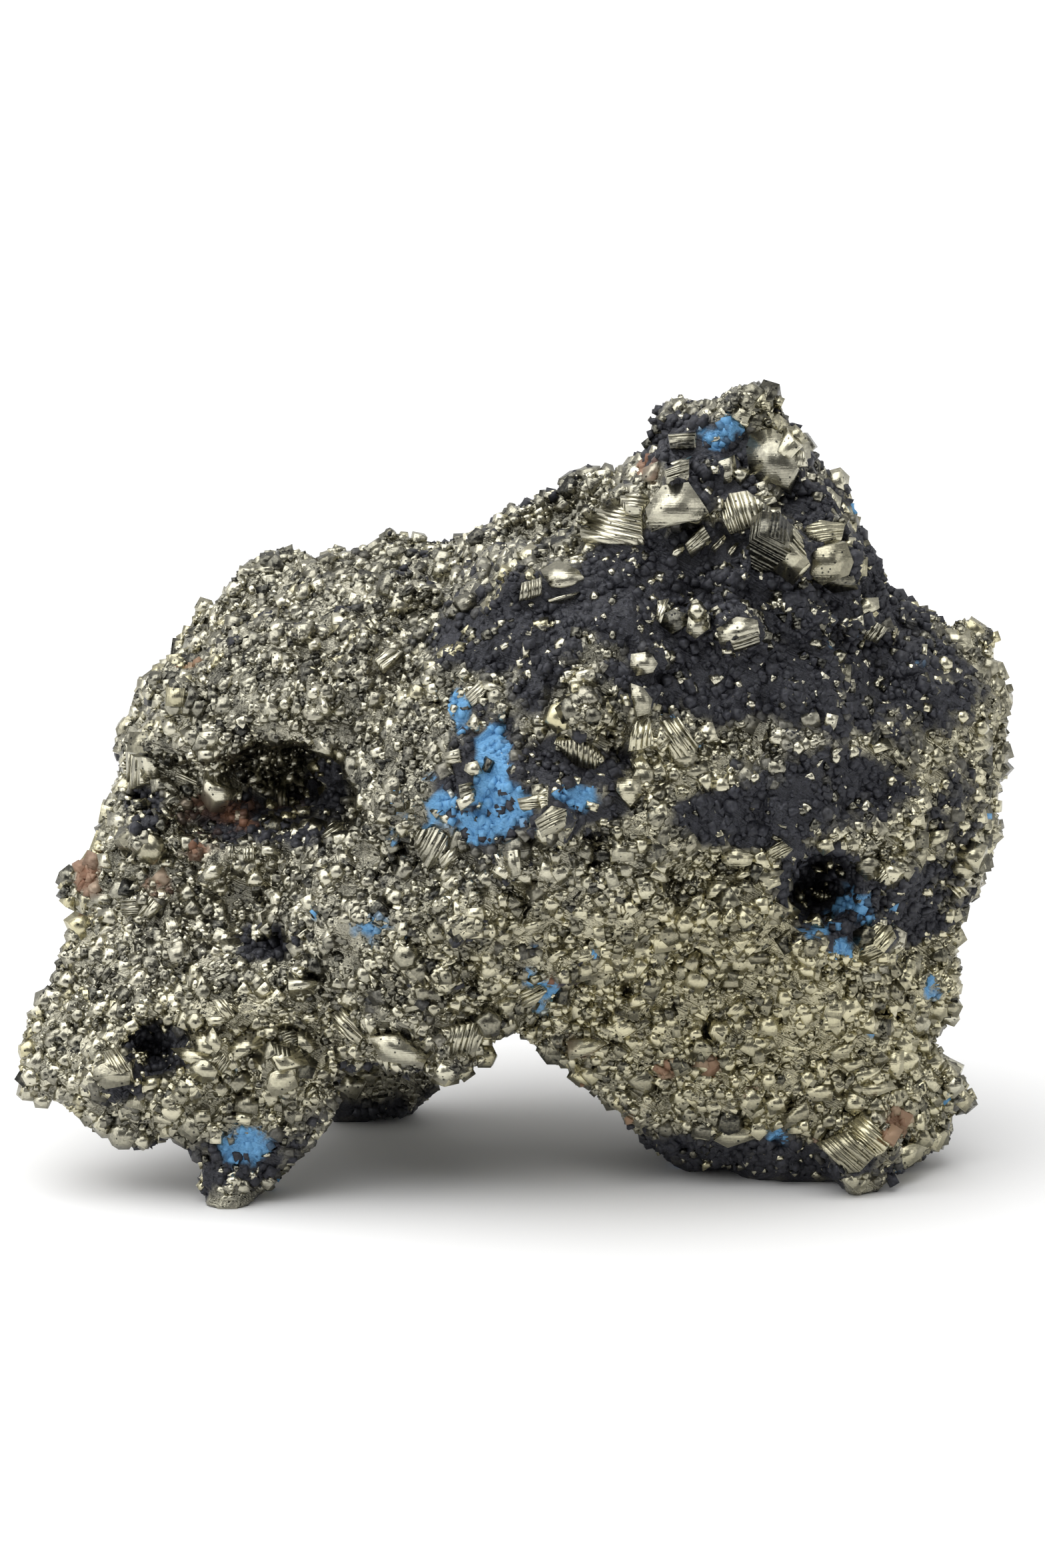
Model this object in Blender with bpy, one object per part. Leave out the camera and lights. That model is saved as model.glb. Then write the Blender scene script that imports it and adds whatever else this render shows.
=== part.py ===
"""A rough pyrite cluster: one natural lump of intergrown pyrite crystals.

The lump stands on low feet round a vaulted hollow. It is made in four steps: angular
masses are grown together, hollows are cut out of them, the skin is roughened into lumps
and ledges, and crystals with flat faces are fused to it.

Metres, +Z up. The origin is on the resting plane, under the middle of the lump, and -Y is
its front. The lists below are in millimetres, which `MM` turns into metres.
"""

import math
import random

import bmesh
import bpy
from mathutils import Euler, Matrix, Vector, noise
from mathutils.bvhtree import BVHTree

MM = 0.001

# Masses that grew together, each the hull of a few corners.
MASSES = {
    "heart": [
        (-12, -12, 15), (-15, 2, 15), (-8, 15, 15), (14, 19, 15), (27, 12, 16), (32, -3, 17),
        (23, -12, 16), (5, -16, 16), (-13, -12, 30), (-14, 6, 32), (-8, 18, 32), (10, 23, 30),
        (24, 19, 30), (33, 10, 31), (36.8, 1, 30), (36.2, 0, 24), (35, 1, 20), (31, -8, 30),
        (20, -15, 29), (8, -18.5, 29), (-1, -18.5, 30), (-6, -10, 40), (2, -9, 45.5),
        (-4, 6, 45), (8, 14, 46), (22, 12, 44), (29, 5, 39), (29, -3, 38), (22, -9, 40),
        (8, -10, 44),
    ],
    "peak": [
        (3, -8, 44), (6, 8, 49), (12, 11, 48), (23, 9, 47), (27, 1, 43), (25, -6, 41),
        (10, -10, 43), (8, 1, 51.8), (9.5, 6, 53.5), (22, 6, 53), (23, 0, 51), (19, -4, 50),
        (11.5, -3, 51), (13, 1, 56), (15, 0, 57.4), (18, 1, 57.2), (19.8, 4, 56.2),
        (14, 5, 57), (6, 12, 38), (24, 14, 36), (28, 0, 36), (8, -9, 36),
    ],
    "right_shoulder": [
        (26, 1, 44.5), (28.5, 1, 43), (31, 1, 40.5), (33, 2, 39), (36, 2, 35.5), (37, 3, 31.5),
        (32, 9, 37), (26, 8, 42), (27, -5, 38), (33, -6, 33), (26, 8, 34), (26, -6, 32),
    ],
    "back_lobe": [
        (-30, 8, 29.5), (-30.5, 6, 23), (-29, 9, 35), (-25, 10, 38.5), (-22, 11, 41),
        (-17, 12, 44), (-12, 12, 45.5), (-3, 12, 45.5), (3, 10, 45.5), (-26, 2, 33),
        (-20, 2, 37), (-12, 0, 40), (-5, -5, 40), (-24, -1, 28), (-14, 21, 36), (-2, 22, 37),
        (-23, 18, 28), (-23, 15, 20), (0, 24, 26),
    ],
    "cave_roof": [
        (-29.5, 3, 29.5), (-28.5, -2, 31), (-20, -6, 31), (-12, -7, 31.5), (-11, -8, 36),
        (-20, -4, 35.5), (-26, 0, 34), (-24, 4, 38), (-9, -4, 40.5), (-10, 6, 43),
        (-12, 6, 30), (-26, 8, 30),
    ],
    "back_knobs": [
        (-3.5, 8, 44), (-3.5, 12, 44), (-1.5, 10, 48), (1, 10, 49), (8, 6, 45), (9, 12, 45),
        (2, 8, 50), (4, 8, 51.5), (7, 9, 51),
    ],
    "back_swell": [
        (-12, 22, 30), (-2, 25.5, 27), (10, 25.5, 28), (24, 19, 26), (10, 19, 42),
        (-10, 20, 40), (-8, 19, 15), (18, 17, 13), (25, 14, 40), (2, 21, 42), (-12, 8, 30),
        (24, 8, 28), (-8, 8, 44), (10, 10, 46), (26, 8, 42),
    ],
    "left_wall": [
        (-31, 3, 27), (-33, 0, 22), (-32.2, 2, 15), (-24, 14, 13), (-26, 14, 28),
        (-14, 16, 14), (-20, -5, 20), (-26, -6, 18), (-14, -7, 18), (-25, -5, 27),
        (-14, -7, 27), (-14, 8, 28), (-29, 8, 20),
    ],
    "left_arm": [
        (-38, -8, 11.3), (-36.5, -7, 14.8), (-34, -4, 18), (-31, -1, 21), (-36.5, -9, 8),
        (-32, -10, 4), (-27, -12, 3.4), (-23, -16, 9), (-15, -15.5, 11), (-13, -9, 20),
        (-20, -3, 22), (-25, 5, 9), (-31, 2, 10), (-14, 3, 10), (-29, -12, 12), (-22, -13, 16),
    ],
    "left_foot": [
        (-25, -12, 5), (-22.5, -15, -1), (-19.5, -15, -1), (-16, -13.5, 3), (-13, -13, 7),
        (-26, -10, 7), (-22, -8, -1), (-18, -8, -1), (-13, -8, 9), (-24, -15, 8),
        (-14, -15, 10),
    ],
    "front_beam": [
        (-16, -14, 9), (-8, -14, 8.8), (-6, -13, 9.8), (-1, -13, 11.5), (5, -15, 17),
        (0, -19, 24), (-13, -15, 22), (-19, -10, 20), (-19, -4, 12), (-4, -2, 13),
        (-15, -13, 25), (-8, -18, 20), (-8, -17, 14), (-15, -6, 26),
    ],
    "right_leg": [
        (-0.5, -12, 11.2), (3, -10, 7.5), (6, -9.5, 5.5), (9, -9, 5), (12.5, -8.5, 3),
        (13, -6.5, -1), (29, -6.5, -1), (31, -5, 2), (31.5, -2, 8), (31.5, -1, 13), (30, 8, 14),
        (24, 10, -1), (14, 8, -1), (5, 5, 10), (0, -13, 19), (33, -3, 18), (17, -14, 18),
        (25, -12, 14), (10, -13, 11), (12, -11, 6), (20, -11, 4), (27, -10, 4),
    ],
    "right_heel": [
        (28, -6, -1), (32, -5, 2.5), (33.5, -2, 4.5), (31.5, -1, 8), (28, -4, 9), (29, 3, -1),
        (32, 2, 4),
    ],
    "rear_foot": [
        (-15, 7, -1), (-9, 7, -1), (-8, 12, -1), (-14, 13, -1), (-5, 8, 2.5), (-2.5, 8, 5.5),
        (-2, 8, 13), (-17, 5, 12), (-18, 14, 16), (-4, 18, 16),
    ],
}

# Hollows: middle, half sizes, turn in degrees.
HOLLOWS = {
    "cave": ((-20, -7, 27.5), (9, 7, 1.8), (0, -6, 0)),
    "cave_throat": ((-13.6, -9, 28.5), (2.2, 7, 2.8), (0, 0, 0)),
    "right_pocket": ((22, -13, 23), (2.8, 5, 2.4), (0, -20, 0)),
    "leg_hole": ((26.5, -10, 13.5), (1.6, 4, 0.9), (0, -15, 0)),
    "arm_slot": ((-18, -11.5, 18.5), (1.8, 2.6, 1), (0, 20, 0)),
    "arm_hollow": ((-25.5, -12.5, 11.2), (2.2, 2.6, 1.2), (0, 15, 0)),
    "beam_hole": ((7.5, -16, 16), (1, 4, 1), (0, 0, 0)),
}

# Crystals big enough to know one by one. The first two numbers say where, in mm across and
# up from AIM, as seen by an eye in front of the lump: see `sight`. Then come the size across
# in mm, the habit, and the turn in degrees.
AIM = Vector((0.3, -4.0, 28.9))
EYE_DISTANCE = 430.0
EYE_DROP = math.radians(13)
CRYSTALS = (
    (18.0, 23.4, 4.2, "pyritohedron", (20, 10, 15)),
    (11.1, 20.0, 4.4, "cube", (30, 20, 40)),
    (6.4, 18.9, 4.2, "slab", (-25, -20, 10)),
    (15.9, 19.8, 3.4, "cube", (35, 15, -20)),
    (18.5, 16.4, 4.3, "cube", (20, 30, 25)),
    (22.4, 15.8, 3.3, "cube", (5, 8, -12)),
    (21.8, 18.4, 2.9, "slab", (10, 5, 10)),
    (15.6, 11.0, 3.3, "cube", (35, -15, 20)),
    (12.6, 11.6, 2.0, "cube", (10, 30, 10)),
    (25.5, 11.0, 2.2, "cube", (40, 10, 30)),
    (13.2, 17.8, 2.2, "slab", (-20, -45, 10)),
    (14.9, 14.1, 2.9, "pyritohedron", (0, 20, 0)),
    (19.7, 11.9, 4.2, "pyritohedron", (15, 40, 20)),
    (23.3, 12.0, 3.4, "pyritohedron", (45, 10, 0)),
    (13.7, 22.4, 3.0, "pyritohedron", (10, 10, 30)),
    (0.1, 14.0, 2.8, "slab", (20, 10, 10)),
    (8.7, 8.7, 2.3, "cube", (15, 35, 30)),
    (8.5, 6.0, 2.3, "cube", (5, 20, 10)),
    (8.7, 3.5, 2.5, "cube", (30, 10, 25)),
    (11.3, 3.5, 2.8, "slab", (30, 45, 20)),
    (4.6, 4.9, 3.6, "pyritohedron", (30, 10, 50)),
    (2.2, -2.6, 2.6, "cube", (20, 20, 10)),
    (-0.8, -5.6, 2.2, "cube", (10, 70, 20)),
    (-4.0, -1.2, 1.8, "cube", (25, 40, 10)),
    (24.1, -26.0, 4.8, "cube", (25, -30, 20)),
    (25.2, -11.3, 3.4, "pyritohedron", (35, 45, 0)),
    (20.7, -11.8, 2.0, "cube", (10, 30, 40)),
    (26.6, -6.2, 2.5, "cube", (30, 20, 40)),
    (31.9, -5.8, 2.2, "cube", (10, 20, 30)),
    (-27.5, 1.6, 2.8, "slab", (10, 80, 20)),
    (-21.9, -0.1, 2.5, "slab", (10, 60, 0)),
    (-15.1, 10.2, 2.6, "slab", (50, 20, 10)),
    (-15.2, 6.9, 2.4, "pyritohedron", (10, 20, 30)),
    (-14.2, 5.7, 2.2, "cube", (0, 25, 45)),
    (-8.3, 12.9, 3.4, "cube", (20, 5, 30)),
    (-22.4, -6.2, 1.9, "cube", (10, 20, 10)),
    (-26.9, -8.9, 2.0, "cube", (30, 10, 40)),
    (-18.2, -4.6, 2.0, "cube", (10, 10, 30)),
    (-29.7, -20.6, 3.6, "pyritohedron", (20, 20, 20)),
    (-24.3, -19.4, 3.2, "cube", (30, 15, 40)),
    (-17.5, -20.6, 2.9, "cube", (15, 25, 10)),
    (-15.6, -19.9, 2.6, "slab", (40, 60, 10)),
)

# Crystals that are scattered over the rest: how many, their sizes, the gap kept between
# them, and the height that they keep off the resting plane, in mm.
SCATTERED = 80
SCATTER_SIZES = (2.0, 4.2)
SCATTER_GAP = 3.2
CLEAR_OF_TABLE = 3.0
PROUD = 0.12
SCATTER_PROUD = -0.1

# The lump's skin, in mm: remesh grid, softening, and the waves that roughen it. Each wave
# has its length, its height and how much of it is blocky rather than rounded.
VOXEL = 0.8
BLEND_ROUNDS = 12
WAVES = ((17.0, 1.5, 0.3), (7.5, 1.1, 0.6), (3.6, 0.6, 0.7))
SWIRL_SHIFTS = (Vector((9.2, 0, 0)), Vector((0, 9.2, 0)), Vector((0, 0, 9.2)))
SKIN_TRIANGLES = 3500


def hull(name, corner_sets):
    """One object of overlapping convex blocks."""
    blocks = bmesh.new()
    for corners in corner_sets:
        block = bmesh.new()
        verts = [block.verts.new(Vector(corner) * MM) for corner in corners]
        bmesh.ops.convex_hull(block, input=verts)
        loose = [v for v in block.verts if not v.link_faces]
        bmesh.ops.delete(block, geom=loose, context="VERTS")
        bmesh.ops.recalc_face_normals(block, faces=block.faces)
        mesh = bpy.data.meshes.new("block")
        block.to_mesh(mesh)
        block.free()
        blocks.from_mesh(mesh)
        bpy.data.meshes.remove(mesh)
    return linked(name, blocks)


def balls(name, shapes):
    """One object of ellipsoids."""
    bm = bmesh.new()
    for middle, half, turn in shapes:
        turned = Euler([math.radians(a) for a in turn]).to_matrix().to_4x4()
        size = Matrix.Diagonal((*half, 1))
        place = Matrix.Scale(MM, 4) @ Matrix.Translation(middle) @ turned @ size
        bmesh.ops.create_icosphere(bm, subdivisions=4, radius=1, matrix=place)
    return linked(name, bm)


def linked(name, bm):
    mesh = bpy.data.meshes.new(name)
    bm.to_mesh(mesh)
    bm.free()
    made = bpy.data.objects.new(name, mesh)
    bpy.context.scene.collection.objects.link(made)
    return made


def applied(obj):
    """The object with its modifiers turned into plain mesh."""
    graph = bpy.context.evaluated_depsgraph_get()
    mesh = bpy.data.meshes.new_from_object(obj.evaluated_get(graph))
    obj.modifiers.clear()
    obj.data = mesh
    return obj


def skinned(obj, rounds):
    """Grows overlapping blocks into one skin with softened creases."""
    skin = obj.modifiers.new("skin", "REMESH")
    skin.mode = "VOXEL"
    skin.voxel_size = VOXEL * MM
    soften = obj.modifiers.new("soften", "SMOOTH")
    soften.factor = 0.5
    soften.iterations = rounds
    return applied(obj)


def cut_by(obj, cutter):
    cutter.hide_render = True
    cutter.display_type = "WIRE"
    cut = obj.modifiers.new("cut", "BOOLEAN")
    cut.operation = "DIFFERENCE"
    cut.object = cutter
    return applied(obj)


def lift(point):
    """How far the roughening moves the skin outwards at a point in mm, in mm."""
    total = 0.0
    for index, (length, height, blocky) in enumerate(WAVES):
        at = (point + Vector((31.7, 5.3, 11.9)) * index) / length
        swirl = Vector([noise.noise(at * 1.7 + shift) for shift in SWIRL_SHIFTS]) * 0.35
        rounded = 0.7 - noise.voronoi(at + swirl)[0][0] * 1.6
        block = noise.cell(at * 1.9 + swirl * 1.5) - 0.45
        total += height * (rounded * (1 - blocky) + block * blocky)
    return total


def roughened(obj):
    """Lumps and ledges over the skin, then fewer triangles."""
    mesh = obj.data
    moves = [v.normal * lift(v.co / MM) * MM for v in mesh.vertices]
    for vertex, move in zip(mesh.vertices, moves):
        vertex.co += move
    obj.modifiers.new("skin", "REMESH").mode = "VOXEL"
    obj.modifiers["skin"].voxel_size = VOXEL * MM
    applied(obj)
    fewer = obj.modifiers.new("fewer", "DECIMATE")
    fewer.ratio = SKIN_TRIANGLES / (2 * len(obj.data.polygons))
    return applied(obj)


def habit(kind):
    """The corners of a crystal one unit across, centred on the origin."""
    corners = [Vector((x, y, z)) / 2 for x in (-1, 1) for y in (-1, 1) for z in (-1, 1)]
    if kind == "slab":
        return [Vector((c.x, c.y * 0.6, c.z * 0.45)) for c in corners]
    if kind == "cube":
        return corners
    roof, eave = 1.5, 0.75
    for a in (-1, 1):
        for b in (-1, 1):
            corners += [
                Vector((0, a * roof, b * eave)) / 2,
                Vector((a * roof, b * eave, 0)) / 2,
                Vector((b * eave, 0, a * roof)) / 2,
            ]
    return [c * 0.72 for c in corners]


def sight(across, up):
    """The eye, and the way it looks at a point that far across and up from AIM."""
    forward = Vector((0, math.cos(EYE_DROP), -math.sin(EYE_DROP)))
    upward = Vector((0, math.sin(EYE_DROP), math.cos(EYE_DROP)))
    eye = AIM - forward * EYE_DISTANCE
    target = AIM + Vector((across, 0, 0)) + upward * up
    return eye * MM, (target - eye).normalized()


def seated(crystals, kind, size, place, turn):
    """Adds one crystal with its middle at that place."""
    matrix = Matrix.Translation(place) @ turn.to_matrix().to_4x4() @ Matrix.Scale(size * MM, 4)
    block = bmesh.new()
    verts = [block.verts.new(matrix @ corner) for corner in habit(kind)]
    bmesh.ops.convex_hull(block, input=verts)
    bmesh.ops.recalc_face_normals(block, faces=block.faces)
    mesh = bpy.data.meshes.new("crystal")
    block.to_mesh(mesh)
    block.free()
    crystals.from_mesh(mesh)
    bpy.data.meshes.remove(mesh)


def crystals_for(lump):
    """All the crystals of the lump as one object: those known by eye, then the scattered."""
    dice = random.Random(7)
    skin = BVHTree.FromObject(lump, bpy.context.evaluated_depsgraph_get())
    crystals = bmesh.new()
    taken = []
    for across, up, size, kind, turn in CRYSTALS:
        place, normal, _, _ = skin.ray_cast(*sight(across, up))
        turned = Euler([math.radians(a) for a in turn])
        seated(crystals, kind, size, place + normal * size * PROUD * MM, turned)
        taken.append(place)
    faces = [f for f in lump.data.polygons if f.center.z > CLEAR_OF_TABLE * MM]
    areas = [f.area for f in faces]
    while len(taken) < len(CRYSTALS) + SCATTERED:
        face = dice.choices(faces, areas)[0]
        size = dice.uniform(*SCATTER_SIZES)
        near = min((face.center - other).length for other in taken)
        if near < (SCATTER_GAP + size / 2) * MM:
            continue
        turned = Euler([dice.uniform(0, math.tau) for _ in range(3)])
        kind = dice.choice(("cube", "cube", "slab", "pyritohedron"))
        seated(crystals, kind, size, face.center + face.normal * size * SCATTER_PROUD * MM, turned)
        taken.append(face.center.copy())
    return linked("crystals", crystals)


def joined(obj, other):
    other.hide_render = True
    other.display_type = "WIRE"
    join = obj.modifiers.new("grow", "BOOLEAN")
    join.operation = "UNION"
    join.object = other
    join.use_self = True
    return applied(obj)


def outer_shell(obj):
    """Keeps the biggest shell, dropping the small voids that the crystals closed off."""
    bm = bmesh.new()
    bm.from_mesh(obj.data)
    left = set(bm.verts)
    shells = []
    while left:
        shell, front = set(), [left.pop()]
        while front:
            vertex = front.pop()
            shell.add(vertex)
            near = {edge.other_vert(vertex) for edge in vertex.link_edges} & left
            left -= near
            front += near
        shells.append(shell)
    shells.sort(key=len)
    bmesh.ops.delete(bm, geom=[v for shell in shells[:-1] for v in shell], context="VERTS")
    bm.to_mesh(obj.data)
    bm.free()


def centred(obj):
    """Moves the lump along the ground until the middle of its box is over the origin."""
    middle = Vector((0, 0, 0))
    for axis in (0, 1):
        reach = [v.co[axis] for v in obj.data.vertices]
        middle[axis] = (min(reach) + max(reach)) / 2
    obj.data.transform(Matrix.Translation(-middle))


def pyrite():
    """Pale brassy metal, dulled by tarnish."""
    material = bpy.data.materials.new("pyrite")
    material.use_nodes = True
    shader = material.node_tree.nodes["Principled BSDF"]
    shader.inputs["Base Color"].default_value = (0.46, 0.43, 0.33, 1)
    shader.inputs["Metallic"].default_value = 0.9
    shader.inputs["Roughness"].default_value = 0.4
    return material


def main():
    for obj in list(bpy.data.objects):
        bpy.data.objects.remove(obj)
    lump = skinned(hull("pyrite_cluster", MASSES.values()), BLEND_ROUNDS)
    cut_by(lump, skinned(balls("hollows", HOLLOWS.values()), 2))
    roughened(lump)
    joined(lump, crystals_for(lump))
    bpy.ops.mesh.primitive_cube_add(size=0.2, location=(0, 0, -0.1))
    cut_by(lump, bpy.context.object)
    outer_shell(lump)
    centred(lump)
    lump.data.materials.clear()
    lump.data.materials.append(pyrite())


main()
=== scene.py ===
"""A rough pyrite cluster on white paper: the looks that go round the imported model.

The cluster is one natural piece, so everything here rides on the one body. It is dressed as
it grew: first the grainy mass, then the larger crystals that face the camera, then the
thousands of small ones that cover the rest. Lengths are in millimetres, and `MM` turns
them into metres.
"""

import math
from collections import namedtuple

import bmesh
import bpy
import numpy as np
from mathutils.bvhtree import BVHTree
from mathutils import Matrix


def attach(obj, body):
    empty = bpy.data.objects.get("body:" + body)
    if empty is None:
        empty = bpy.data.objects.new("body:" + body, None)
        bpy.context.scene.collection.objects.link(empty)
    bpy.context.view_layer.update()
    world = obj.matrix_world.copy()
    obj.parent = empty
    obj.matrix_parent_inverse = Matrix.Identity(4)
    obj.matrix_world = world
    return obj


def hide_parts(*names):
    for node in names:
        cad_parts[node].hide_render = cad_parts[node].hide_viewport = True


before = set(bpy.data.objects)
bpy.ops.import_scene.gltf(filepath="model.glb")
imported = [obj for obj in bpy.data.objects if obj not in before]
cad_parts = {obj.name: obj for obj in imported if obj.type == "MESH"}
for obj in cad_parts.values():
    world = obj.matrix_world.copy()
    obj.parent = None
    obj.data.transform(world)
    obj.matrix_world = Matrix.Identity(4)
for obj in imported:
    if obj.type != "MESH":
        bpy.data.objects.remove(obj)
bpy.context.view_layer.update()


# The camera, in front of the cluster and a little above it, as the photographer's was.
# Places in the photograph are given in its pixels, and a sight line through such a pixel
# finds the place on the cluster.
MM = 0.001
AIM = np.array([0.37, -6.55, 28.9])
EYE_DISTANCE = 430.0
EYE_DROP = math.radians(13)
PHOTO_SIZE = np.array([1568, 2352])
PHOTO_MIDDLE = PHOTO_SIZE / 2
PIXELS_PER_MM = 20.76
SENSOR = 36.0

ACROSS = np.array([1.0, 0.0, 0.0])
FORWARD = np.array([0.0, math.cos(EYE_DROP), -math.sin(EYE_DROP)])
UPWARD = np.array([0.0, math.sin(EYE_DROP), math.cos(EYE_DROP)])
EYE = AIM - FORWARD * EYE_DISTANCE

camera_data = bpy.data.cameras.new("camera")
camera_data.sensor_width = SENSOR
camera_data.lens = SENSOR * EYE_DISTANCE * PIXELS_PER_MM / PHOTO_SIZE[1]
camera_data.clip_start = 0.01
camera_data.clip_end = 20
camera = bpy.data.objects.new("camera", camera_data)
camera.location = EYE * MM
camera.rotation_euler = (math.pi / 2 - EYE_DROP, 0, 0)
bpy.context.scene.collection.objects.link(camera)
bpy.context.scene.camera = camera


def sight_lines(pixels):
    """Directions from the eye through photo pixels: the way ahead, plus the pixel's distance
    across and up from the middle of the picture, made one long."""
    aside = (np.asarray(pixels, float) - PHOTO_MIDDLE) / PIXELS_PER_MM
    lines = FORWARD * EYE_DISTANCE + aside[:, :1] * ACROSS - aside[:, 1:] * UPWARD
    return lines / np.linalg.norm(lines, axis=1, keepdims=True)


def photo_places(points):
    """Photo pixels of points: how far they lie across and up from the way ahead, divided by
    how far ahead they are."""
    rays = points - EYE
    scale = PIXELS_PER_MM * EYE_DISTANCE / (rays @ FORWARD)
    return PHOTO_MIDDLE + np.stack([rays @ ACROSS * scale, -(rays @ UPWARD) * scale], 1)


# The grainy mass, the body of the cluster: pyrite grown as grains too small to see singly,
# with soot-like sulphide and painted shade in its hollows, and powdery blue and rusty crusts
# here and there.
# It is the CAD solid, given a finer skin and broken into small flat facets.

# The spacing of the skin's points and how far it is sunk, in mm.
SKIN_GRID = 0.42
SKIN_SINK = 0.12
# Two sizes of facet: width and height in mm, how steeply they lean, and the seed.
FACETS = ((2.3, 0.34, 0.26, 11), (1.1, 0.17, 0.3, 23))
# The skin is left plain below the first of these heights in mm. From the second up it is
# full and bears small crystals.
BARE_BELOW, CLEAR_OF_FLOOR = 0.1, 0.7

# Blackened places, partly soot and partly painted shade in pits, hollows and along the
# underside: middle across and down, half width and half height in photo pixels, and how
# strong the cover is.
SOOT_AND_SHADE_SPOTS = (
    (1150, 880, 240, 90, 1.0), (1000, 900, 190, 80, 0.8), (860, 900, 130, 55, 0.9),
    (760, 960, 120, 55, 0.8), (800, 1010, 60, 60, 0.6), (1080, 1010, 170, 75, 0.8),
    (1250, 1010, 160, 90, 0.75), (1360, 1030, 110, 90, 0.55), (1070, 700, 70, 60, 1.0),
    (1020, 660, 60, 40, 0.7), (1120, 1225, 110, 45, 1.0), (1230, 1180, 130, 60, 0.6),
    (1230, 1330, 60, 60, 1.0), (1310, 1370, 120, 55, 0.85), (1420, 1330, 50, 50, 0.5),
    (860, 1150, 90, 50, 0.7), (880, 1200, 80, 50, 0.7), (730, 1195, 90, 70, 0.75),
    (725, 1100, 55, 60, 0.6), (1190, 720, 40, 50, 0.5), (1215, 760, 60, 40, 0.8),
    (950, 830, 90, 40, 0.6), (400, 1230, 120, 40, 0.75), (215, 1210, 28, 34, 1.0),
    (400, 1410, 50, 28, 0.9), (235, 1575, 50, 40, 1.0), (190, 1625, 60, 30, 0.6),
    (1060, 1740, 300, 40, 0.6), (640, 1700, 200, 60, 0.5), (490, 1175, 30, 50, 0.9),
    (1370, 880, 60, 60, 0.3), (1440, 1220, 50, 90, 0.4), (360, 1740, 120, 40, 0.5),
)
BLUE_SPOTS = (
    (738, 1140, 26, 55, 1.0), (758, 1205, 46, 34, 1.0), (700, 1240, 74, 26, 0.8),
    (658, 1212, 24, 26, 0.9), (878, 1196, 26, 20, 1.0), (843, 1192, 16, 16, 0.8),
    (690, 1068, 14, 36, 0.9), (645, 1160, 22, 20, 0.5), (600, 1250, 20, 60, 0.45),
    (560, 1395, 50, 34, 0.5), (820, 1500, 30, 26, 0.7), (800, 1465, 14, 14, 0.6),
    (365, 1715, 46, 28, 0.8), (1262, 1425, 14, 18, 1.0), (1290, 1370, 50, 40, 0.5),
    (1210, 1400, 30, 16, 0.55), (1080, 650, 34, 24, 0.55), (1170, 1705, 24, 14, 0.4),
    (1400, 1480, 16, 40, 0.4), (1490, 1200, 12, 40, 0.5), (1310, 1552, 8, 6, 0.9),
    (350, 1606, 10, 10, 0.7), (1240, 960, 60, 30, 0.3), (1260, 700, 20, 50, 0.35),
    (1410, 1640, 20, 40, 0.35), (470, 1370, 10, 8, 0.5),
)
RUST_SPOTS = (
    (130, 1316, 16, 26, 1.0), (972, 704, 16, 20, 1.0), (1002, 1604, 16, 14, 0.9),
    (1066, 1597, 16, 12, 0.8), (1128, 1642, 10, 8, 0.8), (1347, 1687, 22, 24, 0.9),
    (330, 1225, 70, 34, 0.5), (230, 1330, 34, 20, 0.6), (410, 1215, 60, 20, 0.4),
    (1000, 1470, 30, 20, 0.35), (880, 1565, 40, 20, 0.4), (300, 1275, 50, 14, 0.5),
)
# Paler, brassier stretches with few dark grains, and duller, greyer ones.
BRASSY_SPOTS = (
    (1160, 1500, 380, 190, 0.8), (1300, 1640, 260, 130, 0.7), (860, 1450, 260, 120, 0.5),
    (1420, 1180, 120, 240, 0.5), (960, 1180, 150, 120, 0.4), (1150, 1300, 150, 70, 0.6),
    (350, 1600, 200, 110, 0.4), (1180, 620, 60, 40, 0.6), (1290, 820, 110, 90, 0.5),
)
GREY_SPOTS = (
    (560, 1050, 260, 260, 0.8), (600, 1300, 170, 230, 0.6), (330, 1090, 190, 90, 0.4),
    (700, 850, 250, 110, 0.6), (250, 1290, 160, 60, 0.5), (1080, 610, 70, 40, 0.4),
)
# How squarely a surface faces the camera where the photograph starts to show it, and where
# it shows it fully. The rest gets each of the five covers as patches of soft noise: their
# size in mm, the seed, the noise where they start and where they are full, and their
# strength. A thin dusting of soot lies in patches on every side.
FACING = (-0.05, 0.25)
UNSEEN_COVERS = (
    (9.0, 47, 0.5, 0.8, 0.8), (6.0, 53, 0.8, 0.9, 0.7), (4.0, 59, 0.84, 0.92, 0.7),
    (14.0, 61, 0.4, 0.7, 1.0), (12.0, 67, 0.5, 0.8, 1.0),
)
DUST = (9.0, 47, 0.35, 0.8, 0.22)
# Ragged noise of two sizes breaks up soot with its painted shade, blue and rust: share, size
# in mm, and seed.
RAGGED = ((0.6, 1.3, 41), (0.4, 0.45, 43))
# What it does to each: the noise that leaves the cover as it is, how strongly other noise
# shifts it, and the amounts where it starts to show and where it is full.
SOOT_AND_SHADE_EDGE = (0.5, 1.1, 0.35, 0.75)
BLUE_EDGE = (0.55, 1.3, 0.42, 0.62)
RUST_EDGE = (0.5, 1.0, 0.4, 0.75)
SOOT_AND_SHADE_GAIN = 1.25
# The tone of the mass: the least, and what facets, brassy stretches and grey ones change.
MASS_TONE, FACET_TONE, BRASS_TONE, GREY_TONE = 0.15, 0.6, 0.15, -0.1
# The way across the faint striae of the mass.
STRIAE_WAY = (0.4, 0.5, 0.77)
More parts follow.
